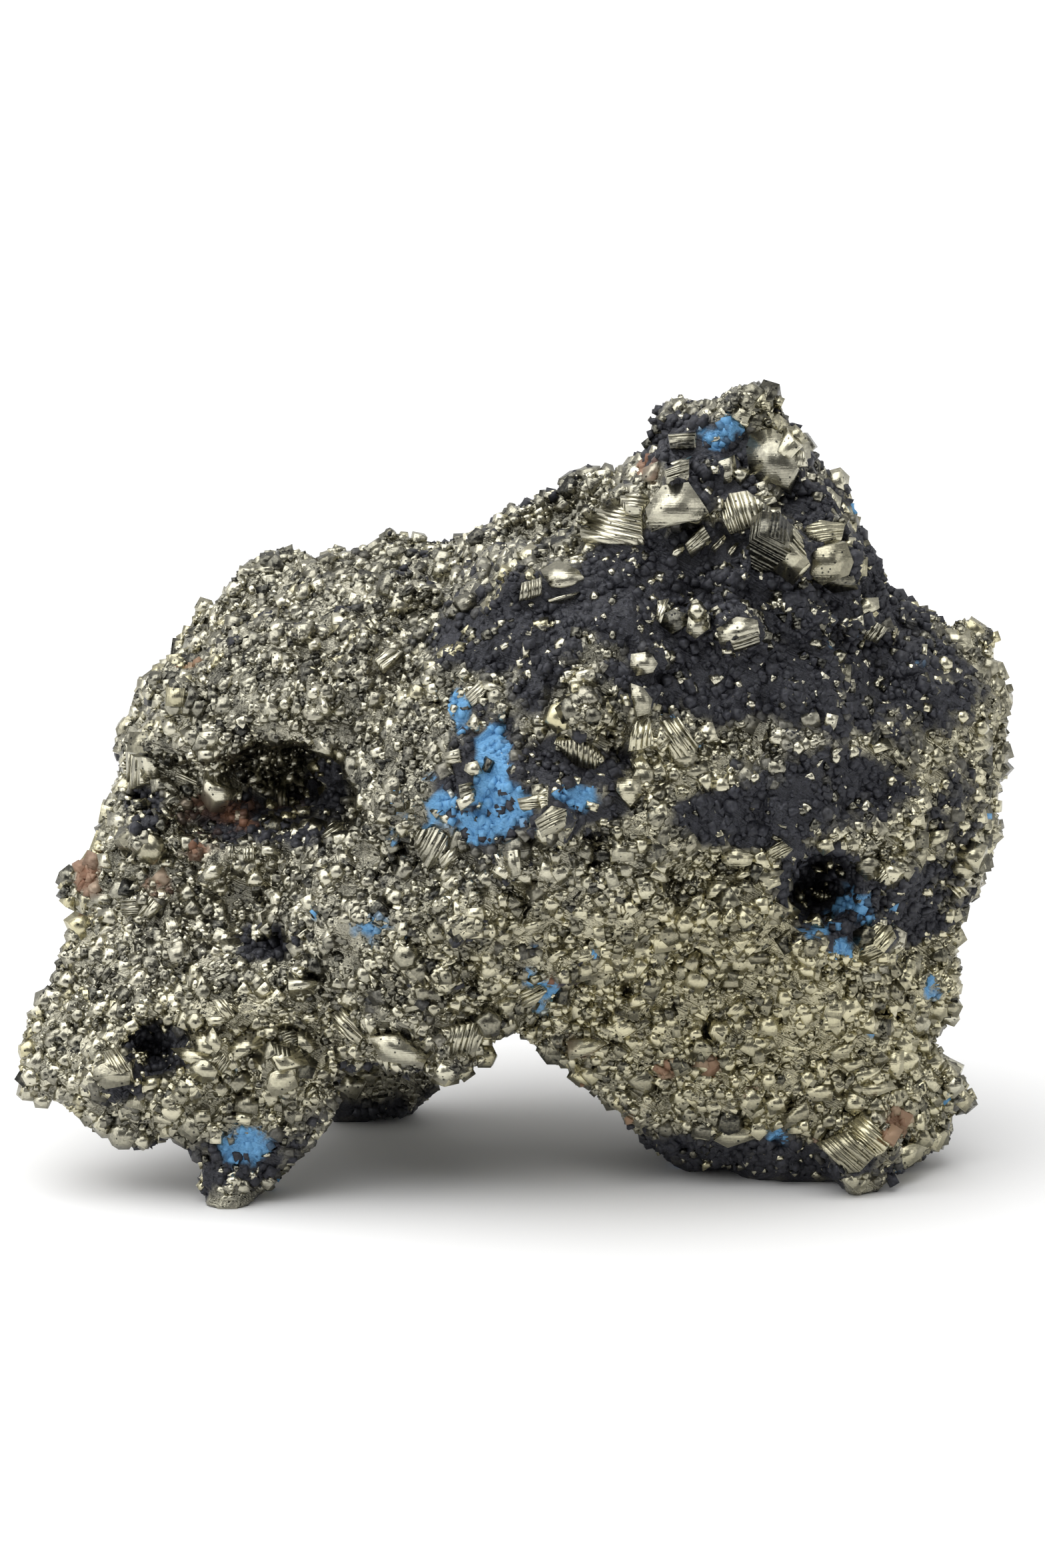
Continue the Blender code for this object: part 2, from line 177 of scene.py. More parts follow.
# Pits and slots: middle across and down, half width and half height in photo pixels, the
# turn in degrees, and the depth in mm.
PITS = (
    (1163, 615, 11, 7, 10, 1.5), (1181, 1655, 9, 9, 0, 1.6), (1328, 1519, 24, 11, -10, 2.0),
    (1268, 1493, 4, 20, 0, 1.2), (935, 1478, 13, 14, 0, 1.4), (590, 1550, 30, 8, -12, 1.6),
    (213, 1208, 20, 24, 0, 1.8), (402, 1409, 30, 15, -10, 1.5), (1288, 1670, 28, 8, -8, 1.4),
    (1066, 1547, 12, 16, 0, 1.4), (655, 1062, 14, 9, 0, 0.8), (1215, 1325, 34, 40, 0, 1.6),
    (1030, 793, 26, 9, 0, 0.9), (930, 1137, 26, 14, -30, 1.0), (232, 1575, 26, 22, 0, 1.4),
    (1200, 745, 40, 8, 0, 0.8), (1118, 885, 8, 8, 0, 0.5), (600, 1280, 8, 30, -15, 0.8),
    (1262, 1445, 8, 16, 0, 1.0), (892, 1255, 20, 8, -10, 0.8), (700, 1530, 20, 8, 30, 0.7),
)


def hashed(cells, seed):
    """A number from 0 to 1 for each cell of a grid: its three whole numbers times three large
    primes, mixed by shifting and multiplying."""
    mixed = (cells[..., 0] * 73856093) ^ (cells[..., 1] * 19349663) ^ (cells[..., 2] * 83492791)
    mixed = (mixed ^ (seed * 668265263)) & 0xFFFFFFFF
    for shift, factor in ((15, 739982445), (13, 695872825)):
        mixed = ((mixed ^ (mixed >> shift)) * factor) & 0xFFFFFFFF
    return ((mixed ^ (mixed >> 16)) & 0xFFFFFF) / 0xFFFFFF


def clouds(points, size, seed):
    """Soft noise from 0 to 1: the hashed numbers at the eight corners of the grid cell round
    each point, blended by the point's smoothed place in the cell."""
    cell = np.floor(points / size).astype(np.int64)
    part = points / size - cell
    part = part * part * (3 - 2 * part)
    total = np.zeros(len(points))
    for corner in np.ndindex(2, 2, 2):
        share = np.where(corner, part, 1 - part).prod(1)
        total += share * hashed(cell + np.array(corner), seed)
    return total


def mosaic(points, size, seed):
    """Splits space into grains of about that size, each round a seed at a hashed place in its
    grid cell. Gives each point its grain's cell and its way from the grain's seed."""
    cell = np.floor(points / size).astype(np.int64)
    nearest = np.full(len(points), np.inf)
    grain = np.zeros((len(points), 3), np.int64)
    away = np.zeros((len(points), 3))
    for shift in np.ndindex(3, 3, 3):
        other = cell + np.array(shift) - 1
        middle = other + np.stack([hashed(other, seed + axis) for axis in range(3)], 1)
        gap = points / size - middle
        far = (gap * gap).sum(1)
        closer = far < nearest
        nearest[closer] = far[closer]
        grain[closer] = other[closer]
        away[closer] = gap[closer] * size
    return grain, away


def eased(values, low, high):
    """0 below low, 1 above high, and an S-shaped rise between them."""
    part = np.clip((values - low) / (high - low), 0, 1)
    return part * part * (3 - 2 * part)


def cover(places, spots):
    """The strongest of some soft-edged ellipses at each photo place: full in the middle,
    fading to nothing at one and a half times the half sizes."""
    most = np.zeros(len(places))
    for across, down, half_width, half_height, strength in spots:
        gap = (places - (across, down)) / (half_width, half_height)
        far = np.hypot(gap[:, 0], gap[:, 1])
        most = np.maximum(most, strength * (1 - eased(far, 0.55, 1.5)))
    return most


def patchy(points, size, seed, low, high, strength):
    """Patches of soft noise: nothing below low, and the full strength above high."""
    return strength * eased(clouds(points, size, seed), low, high)


def broken(amount, ragged, edge):
    """A cover with a ragged border: its amount is shifted by the noise, then sharpened."""
    level, strength, low, high = edge
    return eased(amount + (ragged - level) * strength, low, high)


def stains_and_shade(points, normals):
    """What covers the surface at each point: soot, which also paints shade in pits, hollows and
    along the underside, blue, rust, brass and grey, from 0 to 1. Where the photograph shows the
    surface, its spots say; elsewhere, soft noise does. Soot, blue and rust are broken up by
    finer noise."""
    places = photo_places(points)
    seen = eased(-(normals @ FORWARD), *FACING)
    ragged = sum(share * clouds(points, size, seed) for share, size, seed in RAGGED)
    all_spots = (SOOT_AND_SHADE_SPOTS, BLUE_SPOTS, RUST_SPOTS, BRASSY_SPOTS, GREY_SPOTS)
    soot, blue, rust, brass, grey = [
        cover(places, spots) * seen + patchy(points, *patches) * (1 - seen)
        for spots, patches in zip(all_spots, UNSEEN_COVERS)
    ]
    soot = broken(soot * SOOT_AND_SHADE_GAIN + patchy(points, *DUST), ragged, SOOT_AND_SHADE_EDGE)
    return soot, broken(blue, ragged, BLUE_EDGE), broken(rust, ragged, RUST_EDGE), brass, grey


# What it is made of. Pyrite is a pale brassy metal that reflects a little over half of the
# light. Fresh faces are bright and tarnished ones grey; on the larger crystals' fronts that
# tone is also painted reflection and shade. Soot-like sulphide lies over them matt and dark,
# and its colours also paint shade in pits, hollows and along the underside. Blue crust is
# chalky, and rust brown.
PYRITE_PALE = "#CCC8B4"
PYRITE_BRASS = "#C9C2A0"
PYRITE_TARNISH = "#3B3B38"
SOOT_AND_SHADE_BLACK = "#1A1B1E"
SOOT_AND_SHADE_VIOLET = "#50515C"
CRUST_BLUE = "#7DB9E6"
CRUST_SHADE = "#447CAB"
RUST_BROWN = "#8C6248"
# The roughness of clean faces, and what a matt cover adds to it. Soot is less matt than the
# crusts, and rust is thin enough to let some metal through.
CLEAN_ROUGHNESS, MATT_EXTRA = 0.25, 0.35
SOOT_MATT, RUST_STRENGTH = 0.75, 0.8
# How far the grain shifts the tone.
GRAIN_SHIFT = 0.7
# Black specks: their spacing in mm, their reach beside it, and how dark they are.
SPECK_SPACING, SPECK_REACH, SPECK_STRENGTH = 0.55, 0.16, 0.85
# Striae to a millimetre, and their height beside the grain's.
STRIAE_PER_MM, STRIAE_HEIGHT = 8.0, 0.8
# The grain of each finish in mm, and the depth of its bump in mm.
MASS_GRAIN, MASS_BUMP = 0.16, 0.09
CRYSTAL_GRAIN, CRYSTAL_BUMP = 0.22, 0.015


def linear(code):
    """The linear colour of an sRGB hex value."""
    parts = [int(code[i : i + 2], 16) / 255 for i in (1, 3, 5)]
    return [p / 12.92 if p <= 0.04045 else ((p + 0.055) / 1.055) ** 2.4 for p in parts] + [1]


def node(tree, kind, settings=None, out=0, **inputs):
    """Adds a shader node with its settings and gives one of its outputs, or the node itself
    where out is None. An input given as a socket is linked, and any other is set. Input names
    are written with _ for spaces, or are input numbers after an i."""
    made = tree.nodes.new("ShaderNode" + kind)
    for name, value in (settings or {}).items():
        setattr(made, name, value)
    for name, value in inputs.items():
        key = int(name[1:]) if name[0] == "i" and name[1:].isdigit() else name.replace("_", " ")
        if isinstance(value, bpy.types.NodeSocket):
            tree.links.new(value, made.inputs[key])
        else:
            made.inputs[key].default_value = value
    return made if out is None else made.outputs[out]


def pyrite_finish(name, grain_size, grain_bump):
    """Pyrite with its tarnish and crusts, and the light and shade painted with them, which the
    numbers stored at the points place.
    """
    material = bpy.data.materials.new(name)
    material.use_nodes = True
    tree = material.node_tree
    shader = tree.nodes["Principled BSDF"]
    place = node(tree, "TexCoord", None, "Object")
    tone, soot, blue, rust, brass, stria = [
        node(tree, "Attribute", {"attribute_name": key}, "Fac")
        for key in ("tone", "soot", "blue", "rust", "brass", "stria")
    ]
    blend = {"data_type": "RGBA"}
    times = {"operation": "MULTIPLY"}
    scale = 1 / (grain_size * MM)
    grain = node(tree, "TexNoise", None, "Fac", Vector=place, Scale=scale, Detail=3.0)

    # Tone turns tarnish to fresh metal, and the grain makes it uneven. On the larger crystals'
    # fronts tone is also painted reflection and shade.
    metal = node(tree, "Mix", blend, 2, i0=brass, i6=linear(PYRITE_PALE), i7=linear(PYRITE_BRASS))
    offset = node(tree, "Math", {"operation": "SUBTRACT"}, i0=grain, i1=0.5)
    uneven = node(tree, "Math", times, i0=offset, i1=GRAIN_SHIFT)
    shade = node(tree, "Math", {"operation": "ADD", "use_clamp": True}, i0=tone, i1=uneven)
    metal = node(tree, "Mix", blend, 2, i0=shade, i6=linear(PYRITE_TARNISH), i7=metal)

    # Black specks lie on most faces, about one to a square millimetre.
    scale = 1 / (SPECK_SPACING * MM)
    far = node(tree, "TexVoronoi", {"feature": "F1"}, "Distance", Vector=place, Scale=scale)
    speck = node(tree, "Math", {"operation": "LESS_THAN"}, i0=far, i1=SPECK_REACH)
    speck = node(tree, "Math", times, i0=speck, i1=SPECK_STRENGTH)
    metal = node(tree, "Mix", blend, 2, i0=speck, i6=metal, i7=linear(SOOT_AND_SHADE_BLACK))

    # Soot, which also paints shade in pits, hollows and along the underside, rust and blue crust
    # lie over the metal, in that order.
    bloom = node(tree, "Math", times, i0=grain, i1=grain)
    sooty = node(tree, "Mix", blend, 2, i0=bloom, i6=linear(SOOT_AND_SHADE_BLACK), i7=linear(SOOT_AND_SHADE_VIOLET))
    colour = node(tree, "Mix", blend, 2, i0=soot, i6=metal, i7=sooty)
    rusty = node(tree, "Math", times, i0=rust, i1=RUST_STRENGTH)
    colour = node(tree, "Mix", blend, 2, i0=rusty, i6=colour, i7=linear(RUST_BROWN))
    crust = node(tree, "Mix", blend, 2, i0=grain, i6=linear(CRUST_SHADE), i7=linear(CRUST_BLUE))
    colour = node(tree, "Mix", blend, 2, i0=blue, i6=colour, i7=crust)

    # What lies over the metal is matt and doesn't reflect as metal does.
    chalky = node(tree, "Math", {"operation": "MAXIMUM"}, i0=blue, i1=rusty)
    dull = node(tree, "Math", times, i0=soot, i1=SOOT_MATT)
    matt = node(tree, "Math", {"operation": "MAXIMUM", "use_clamp": True}, i0=chalky, i1=dull)
    bright = node(tree, "Math", {"operation": "SUBTRACT", "use_clamp": True}, i0=1.0, i1=matt)
    added = {"operation": "MULTIPLY_ADD"}
    rough = node(tree, "Math", added, i0=matt, i1=MATT_EXTRA, i2=CLEAN_ROUGHNESS)

    # Striae are drawn about 0.12 mm apart: finer ones would not show.
    lines = node(
        tree, "TexNoise", {"noise_dimensions": "1D"}, "Fac",
        W=stria, Scale=STRIAE_PER_MM, Detail=1.0,
    )
    lines = node(tree, "Math", times, i0=lines, i1=STRIAE_HEIGHT)
    height = node(tree, "Math", {"operation": "ADD"}, i0=grain, i1=lines)
    depth = grain_bump * MM
    bump = node(tree, "Bump", None, "Normal", Strength=1.0, Distance=depth, Height=height)
    tree.links.new(colour, shader.inputs["Base Color"])
    tree.links.new(bright, shader.inputs["Metallic"])
    tree.links.new(rough, shader.inputs["Roughness"])
    tree.links.new(bump, shader.inputs["Normal"])
    return material


def arrays_of(mesh):
    """A mesh's points and normals, as arrays, in mm."""
    points = np.empty(len(mesh.vertices) * 3, np.float32)
    mesh.vertices.foreach_get("co", points)
    normals = np.empty(len(mesh.vertices) * 3, np.float32)
    mesh.vertices.foreach_get("normal", normals)
    return points.reshape(-1, 3).astype(float) / MM, normals.reshape(-1, 3).astype(float)


def marked(mesh, **marks):
    """Stores numbers at the mesh's points, under names that a material can read."""
    for name, values in marks.items():
        layer = mesh.attributes.new(name, "FLOAT", "POINT")
        layer.data.foreach_set("value", np.asarray(values, np.float32))


# A copy of the CAD solid with its loose triangles joined up, which sight lines are cast at.
merged = bmesh.new()
merged.from_mesh(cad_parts["pyrite_cluster"].data)
bmesh.ops.remove_doubles(merged, verts=merged.verts, dist=1e-6)
solid_mesh = bpy.data.meshes.new("grainy_mass")
merged.to_mesh(solid_mesh)
sight_tree = BVHTree.FromBMesh(merged)
merged.free()

# Remeshing gives it a skin of evenly spaced points.
mass = bpy.data.objects.new("grainy_mass", solid_mesh)
bpy.context.scene.collection.objects.link(mass)
finer = mass.modifiers.new("finer", "REMESH")
finer.mode = "VOXEL"
finer.voxel_size = SKIN_GRID * MM
shown = mass.evaluated_get(bpy.context.evaluated_depsgraph_get())
mass_mesh = bpy.data.meshes.new_from_object(shown)
mass.modifiers.clear()
mass.data = mass_mesh
bpy.data.meshes.remove(solid_mesh)

# Its deep bump breaks every reflection up into sparkle.
mass_mesh.materials.clear()
mass_mesh.materials.append(pyrite_finish("grainy_pyrite", MASS_GRAIN, MASS_BUMP))
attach(mass, "root")
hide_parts("pyrite_cluster")

# Each facet is lifted and tilted as a whole.
skin, skin_normals = arrays_of(mass_mesh)
lift = np.full(len(skin), -SKIN_SINK)
facet_tone = np.zeros(len(skin))
for size, height, slope, seed in FACETS:
    grain, away = mosaic(skin, size, seed)
    tilt = np.stack([hashed(grain, seed + axis) for axis in (3, 4, 5)], 1) - 0.5
    lift += height * (hashed(grain, seed + 6) - 0.6) + slope * (away * tilt).sum(1)
    facet_tone += hashed(grain, seed + 7) / len(FACETS)
lift *= eased(skin[:, 2], BARE_BELOW, CLEAR_OF_FLOOR)
skin += skin_normals * lift[:, None]
skin[:, 2] = np.maximum(skin[:, 2], 0)

# Pits are pressed in along the way ahead, where the surface faces the camera. Each is full
# within half its size and ends at one and a quarter times that size.
skin_places = photo_places(skin)
skin_seen = -(skin_normals @ FORWARD) > -0.1
# This mask paints shade into each pit, as fully as the pit is pressed in.
pit_painted_shade = np.zeros(len(skin))
for across, down, half_width, half_height, turn, depth in PITS:
    gap = skin_places - (across, down)
    cosine, sine = math.cos(math.radians(turn)), math.sin(math.radians(turn))
    along = (gap[:, 0] * cosine - gap[:, 1] * sine) / half_width
    over = (gap[:, 0] * sine + gap[:, 1] * cosine) / half_height
    inside = (1 - eased(np.hypot(along, over), 0.5, 1.25)) * skin_seen
    skin += FORWARD * (inside * depth)[:, None]
    pit_painted_shade = np.maximum(pit_painted_shade, inside)


# The larger crystals that face the camera: cubes, blades and striated blocks of pyrite, each
# grown out of the mass with a flat front, outlined by a few photo pixels. A striated one is
# a stack of thin plates at slightly different heights, as its steps of growth lie.

# The usual width of a plate in mm, the least share of it that one has and what chance adds,
# how far it may step up or down in mm, and how far it may lean.
PLATE, PLATE_LEAST, PLATE_MORE = 0.3, 0.45, 1.1
PLATE_STEP = 0.09
PLATE_SLOPE = 0.22
PLATE_SEED = 71
# How far plates differ in tone, and how far apart the striae of two crystals are read.
TONE_SPREAD, TONE_SEED = 0.1, 73
STRIAE_APART = 7.0
# How much of the rust around them these crystals bear.
FRONT_RUST = 0.8
# How far a crystal goes back from its front, and how far the front stands above the surface,
# in mm. It does so at this share of its corners and middle.
CRYSTAL_DEPTH, CRYSTAL_LIFT, CLEARED_SHARE = 2.4, 0.3, 0.6
# How much of a front's slope is the surface's own; the rest faces the eye.
SLOPE_SHARE = 0.45
# The mass keeps this far behind a front, in mm, out to a margin round it. What stands higher
# above it, or further from its middle, belongs to another part of the cluster.
MASS_BEHIND, MASS_MARGIN, MASS_HIGHEST = 0.35, 0.05, 3.0
MASS_FURTHEST_SQUARED = 60.0
# How pale each kind of face is painted, from 0, black, to 1, bright. This is mostly painted
# reflection and shade: faces that lean up are mostly paler, and those that lean down darker.
BRIGHT, PALE, MIDDLE, DULL, DARK = 1.0, 0.78, 0.56, 0.34, 0.14

# Outline, tone with its painted reflection and shade, the lean to the right and upwards in
# degrees, and the angle of the striae above the horizontal in degrees, or None where there
# are none.
CRYSTALS = (
    ([(1126, 650), (1157, 642), (1195, 665), (1197, 694), (1182, 730), (1126, 715), (1119, 671)],
     MIDDLE, (-8, 4), None),
    ([(1136, 623), (1167, 605), (1184, 606), (1170, 630), (1157, 638), (1138, 633)],
     PALE, (-10, 20), None),
    ([(1180, 640), (1193, 650), (1206, 668), (1200, 672), (1184, 656)], BRIGHT, (20, 30), None),
    ([(1201, 674), (1210, 680), (1211, 700), (1202, 696)], BRIGHT, (25, 5), 80),
    ([(968, 763), (994, 728), (1033, 723), (1063, 767), (1044, 780), (1008, 784), (977, 797)],
     PALE, (-6, 12), None),
    ([(870, 793), (899, 763), (960, 744), (962, 809), (941, 813), (872, 807)],
     BRIGHT, (-12, 18), -14),
    ([(930, 744), (962, 735), (975, 748), (962, 764), (940, 760)], PALE, (-5, 25), -10),
    ([(1094, 740), (1121, 736), (1146, 755), (1136, 786), (1094, 799), (1080, 769)],
     BRIGHT, (-6, 10), -72),
    ([(1146, 755), (1157, 762), (1148, 790), (1136, 786)], DULL, (30, 0), 72),
    ([(1027, 814), (1054, 786), (1065, 805), (1034, 830)], PALE, (0, 15), 46),
    ([(1065, 820), (1086, 801), (1090, 807), (1071, 828)], BRIGHT, (-8, 10), 46),
    ([(1094, 824), (1105, 813), (1109, 816), (1098, 832)], BRIGHT, (5, 10), 50),
    ([(1010, 824), (1025, 814), (1027, 824), (1013, 832)], BRIGHT, (0, 20), None),
    ([(1124, 812), (1140, 803), (1167, 806), (1213, 853), (1203, 866), (1128, 858)],
     DARK, (8, -16), -40),
    ([(1144, 792), (1175, 785), (1196, 790), (1216, 848), (1190, 828), (1167, 804)],
     PALE, (14, 18), -64),
    ([(1209, 790), (1230, 780), (1268, 786), (1264, 805), (1235, 813), (1211, 801)],
     PALE, (4, 22), 8),
    ([(1222, 828), (1270, 813), (1281, 843), (1274, 862), (1234, 878), (1218, 862)],
     MIDDLE, (2, 0), None),
    ([(1236, 880), (1262, 862), (1284, 872), (1288, 884), (1250, 890)], DARK, (5, -20), None),
    ([(1075, 943), (1105, 925), (1136, 929), (1138, 945), (1079, 964)], PALE, (-4, 22), None),
    ([(1098, 964), (1138, 947), (1141, 967), (1104, 979)], MIDDLE, (8, -12), 22),
    ([(1033, 925), (1061, 920), (1064, 943), (1044, 958), (1029, 947)], PALE, (-4, 8), None),
    ([(1062, 921), (1067, 925), (1068, 945), (1064, 943)], DULL, (35, 0), 85),
    ([(992, 922), (1010, 914), (1030, 920), (1033, 935), (1008, 951), (990, 937)],
     DARK, (-6, -10), None),
    ([(987, 901), (1004, 897), (992, 933), (985, 927)], BRIGHT, (-8, 6), 66),
    ([(1304, 927), (1333, 943), (1318, 966), (1297, 958)], MIDDLE, (6, 4), 58),
    ([(1296, 897), (1318, 896), (1320, 912), (1300, 918)], PALE, (5, 10), None),
    ([(933, 702), (962, 694), (960, 717), (933, 727)], BRIGHT, (-10, 14), None),
    ([(964, 702), (987, 692), (979, 717), (964, 721)], MIDDLE, (0, 0), None),
    ([(998, 704), (1034, 688), (1034, 713), (1002, 720)], MIDDLE, (-4, 6), 20),
    ([(998, 702), (1010, 692), (1038, 684), (1034, 690)], PALE, (-2, 30), None),
    ([(1002, 650), (1044, 646), (1042, 656), (1004, 660)], MIDDLE, (0, 24), 4),
    ([(1004, 661), (1042, 657), (1040, 673), (1006, 673)], DARK, (0, -12), None),
    ([(1090, 690), (1102, 682), (1107, 710), (1096, 724)], MIDDLE, (20, 0), None),
    ([(782, 874), (813, 866), (813, 889), (780, 897)], MIDDLE, (-2, 6), 88),
    ([(822, 899), (870, 887), (862, 893), (826, 902)], BRIGHT, (0, 26), None),
    ([(811, 855), (837, 839), (868, 855), (876, 866), (826, 878)], PALE, (-6, 16), None),
    ([(947, 981), (975, 977), (987, 995), (980, 1008), (955, 1014), (945, 998)],
     PALE, (4, 6), None),
    ([(947, 1025), (965, 1031), (979, 1049), (975, 1070), (956, 1075), (951, 1049)],
     MIDDLE, (10, 2), None),
    ([(930, 1042), (942, 1040), (944, 1052), (934, 1054)], BRIGHT, (-4, 10), None),
    ([(947, 1099), (956, 1081), (975, 1077), (981, 1116), (962, 1124), (943, 1126)],
     BRIGHT, (-4, 8), 82),
    ([(989, 1083), (1018, 1075), (1048, 1119), (1042, 1132), (1010, 1139), (1002, 1113)],
     PALE, (4, 10), -56),
    ([(1010, 1134), (1040, 1124), (1046, 1138), (1030, 1152), (1014, 1150)],
     MIDDLE, (2, -8), None),
    ([(697, 1041), (720, 1021), (737, 1030), (708, 1059)], PALE, (-8, 8), 44),
    ([(722, 1020), (757, 1028), (750, 1036), (726, 1032)], PALE, (0, 18), None),
    ([(699, 1086), (710, 1070), (719, 1078), (718, 1094), (710, 1098)], PALE, (-6, 8), None),
    ([(667, 1129), (688, 1123), (690, 1142), (668, 1144)], PALE, (-6, 6), 6),
    ([(699, 1145), (716, 1141), (724, 1158), (707, 1162), (696, 1155)], PALE, (0, 14), None),
    ([(684, 1200), (711, 1189), (712, 1201), (691, 1216)], BRIGHT, (-6, 4), None),
    ([(688, 1177), (707, 1173), (714, 1186), (691, 1197)], DULL, (-2, 16), 20),
    ([(776, 1198), (809, 1192), (812, 1209), (780, 1213)], PALE, (-4, 8), 3),
    ([(806, 1192), (822, 1179), (821, 1206), (812, 1210)], BRIGHT, (6, 12), 3),
    ([(802, 1231), (828, 1209), (850, 1214), (847, 1232), (812, 1250)],
     MIDDLE, (4, 10), 28),
    ([(753, 1278), (772, 1275), (776, 1312), (766, 1316)], MIDDLE, (-12, 4), None),
    ([(772, 1275), (781, 1274), (783, 1306), (776, 1312)], PALE, (16, 8), None),
    ([(563, 989), (579, 972), (605, 978), (576, 1003)], BRIGHT, (-8, 20), 40),
    ([(624, 1247), (652, 1240), (672, 1256), (664, 1290), (640, 1304), (621, 1268)],
     MIDDLE, (-8, 0), 60),
    ([(658, 1290), (682, 1268), (688, 1284), (664, 1304)], PALE, (0, 4), 52),
    ([(831, 1115), (866, 1109), (906, 1142), (892, 1155), (863, 1149)], MIDDLE, (4, 0), 86),
    ([(927, 1167), (959, 1163), (963, 1190), (946, 1209), (924, 1184)], PALE, (0, 6), None),
    ([(207, 1115), (224, 1114), (231, 1169), (214, 1175), (205, 1136)],
     BRIGHT, (-10, 6), None),
    ([(187, 1122), (206, 1116), (212, 1176), (192, 1184)], PALE, (-24, 4), 84),
    ([(307, 1158), (320, 1160), (334, 1175), (356, 1185), (344, 1199), (323, 1199), (309, 1178)],
     BRIGHT, (-4, 14), None),
    ([(265, 1157), (298, 1171), (296, 1177), (265, 1164)], PALE, (0, 22), -24),
    ([(414, 1180), (430, 1176), (432, 1207), (419, 1211)], PALE, (-4, 4), 86),
    ([(433, 1196), (446, 1195), (447, 1204), (435, 1206)], BRIGHT, (0, 14), None),
    ([(241, 1082), (260, 1076), (262, 1095), (246, 1100)], BRIGHT, (-8, 12), None),
    ([(160, 1214), (174, 1221), (190, 1229), (178, 1244), (161, 1237)], PALE, (-16, 8), None),
    ([(304, 1310), (320, 1292), (335, 1298), (327, 1314), (307, 1318)], BRIGHT, (-6, 14), None),
    ([(318, 1337), (336, 1324), (343, 1335), (334, 1346)], BRIGHT, (0, 12), None),
    ([(207, 1370), (224, 1344), (240, 1359), (223, 1377)], PALE, (-10, 8), 52),
    ([(180, 1350), (208, 1350), (206, 1370), (183, 1373)], MIDDLE, (-10, 2), 4),
    ([(134, 1339), (161, 1341), (164, 1355), (137, 1354)], MIDDLE, (-14, 10), None),
    ([(146, 1364), (170, 1363), (168, 1384), (148, 1381)], PALE, (-12, 4), None),
    ([(338, 1270), (349, 1268), (353, 1287), (342, 1289)], MIDDLE, (-4, 4), 84),
    ([(364, 1273), (381, 1272), (382, 1290), (365, 1291)], PALE, (0, 6), 88),
    ([(393, 1269), (416, 1269), (423, 1284), (408, 1280), (395, 1280)], PALE, (0, 18), None),
    ([(484, 1250), (500, 1231), (514, 1236), (509, 1252), (488, 1274)], PALE, (-12, 12), 48),
    ([(444, 1210), (466, 1209), (463, 1222), (448, 1223)], PALE, (0, 10), None),
    ([(315, 1353), (334, 1349), (338, 1364), (320, 1367)], PALE, (0, 10), None),
    ([(292, 1370), (304, 1365), (308, 1375), (293, 1385)], PALE, (-4, 8), None),
    ([(145, 1281), (159, 1280), (162, 1300), (149, 1299)], BRIGHT, (-16, 8), None),
    ([(459, 1030), (478, 1026), (480, 1040), (462, 1044)], BRIGHT, (-4, 14), None),
    ([(478, 1048), (487, 1046), (494, 1064), (485, 1070)], BRIGHT, (-10, 10), None),
    ([(461, 960), (478, 956), (482, 968), (466, 972)], BRIGHT, (-4, 20), None),
    ([(155, 1576), (174, 1572), (198, 1606), (180, 1610), (158, 1600)], PALE, (-14, 14), -58),
    ([(140, 1604), (156, 1600), (180, 1611), (196, 1607), (194, 1627), (158, 1634), (140, 1618)],
     MIDDLE, (-10, -8), None),
    ([(256, 1572), (287, 1571), (312, 1581), (318, 1593), (305, 1602), (272, 1588)],
     PALE, (-6, 10), None),
    ([(284, 1553), (302, 1548), (317, 1572), (311, 1581), (293, 1576)], PALE, (-8, 12), None),
    ([(307, 1560), (319, 1541), (333, 1566), (324, 1579)], PALE, (4, 4), None),
    ([(284, 1602), (305, 1597), (325, 1609), (321, 1621), (305, 1625), (287, 1616)],
     PALE, (-4, -2), None),
    ([(313, 1592), (336, 1582), (346, 1594), (336, 1610), (324, 1603)], MIDDLE, (4, 2), 55),
    ([(399, 1568), (409, 1580), (423, 1601), (417, 1607), (402, 1585)], BRIGHT, (-20, 8), None),
    ([(400, 1631), (406, 1612), (424, 1602), (439, 1606), (447, 1630), (422, 1643), (408, 1645)],
     PALE, (2, -4), None),
    ([(404, 1562), (434, 1572), (440, 1603), (424, 1601), (410, 1580)], DULL, (18, 4), 80),
    ([(442, 1585), (461, 1580), (478, 1593), (468, 1619), (446, 1616)], DARK, (6, -6), None),
    ([(345, 1570), (360, 1555), (391, 1556), (397, 1572), (372, 1576), (352, 1590)],
     PALE, (0, 10), None),
    ([(378, 1587), (397, 1589), (395, 1609), (384, 1603)], BRIGHT, (-4, 4), None),
    ([(446, 1547), (464, 1548), (478, 1569), (464, 1579), (449, 1569)], MIDDLE, (4, 8), None),
    ([(420, 1545), (444, 1546), (447, 1568), (428, 1570)], DULL, (0, 4), 20),
    ([(455, 1522), (477, 1519), (478, 1528), (464, 1535), (455, 1530)], BRIGHT, (0, 14), None),
    ([(318, 1500), (338, 1498), (352, 1522), (334, 1526)], PALE, (0, 6), -50),
    ([(494, 1522), (512, 1512), (545, 1555), (536, 1566), (510, 1552)], PALE, (4, 4), -44),
    ([(308, 1526), (337, 1525), (341, 1532), (330, 1539), (313, 1539)], PALE, (0, 8), None),
    ([(290, 1667), (314, 1664), (317, 1685), (293, 1689)], MIDDLE, (-2, 0), None),
    ([(229, 1670), (258, 1675), (256, 1688), (232, 1683)], PALE, (-6, 2), None),
    ([(354, 1667), (379, 1672), (374, 1688), (354, 1683)], BRIGHT, (0, 6), None),
    ([(213, 1616), (241, 1611), (238, 1628), (213, 1637)], PALE, (-6, 8), None),
    ([(440, 1725), (477, 1714), (468, 1735), (446, 1738)], MIDDLE, (0, -6), None),
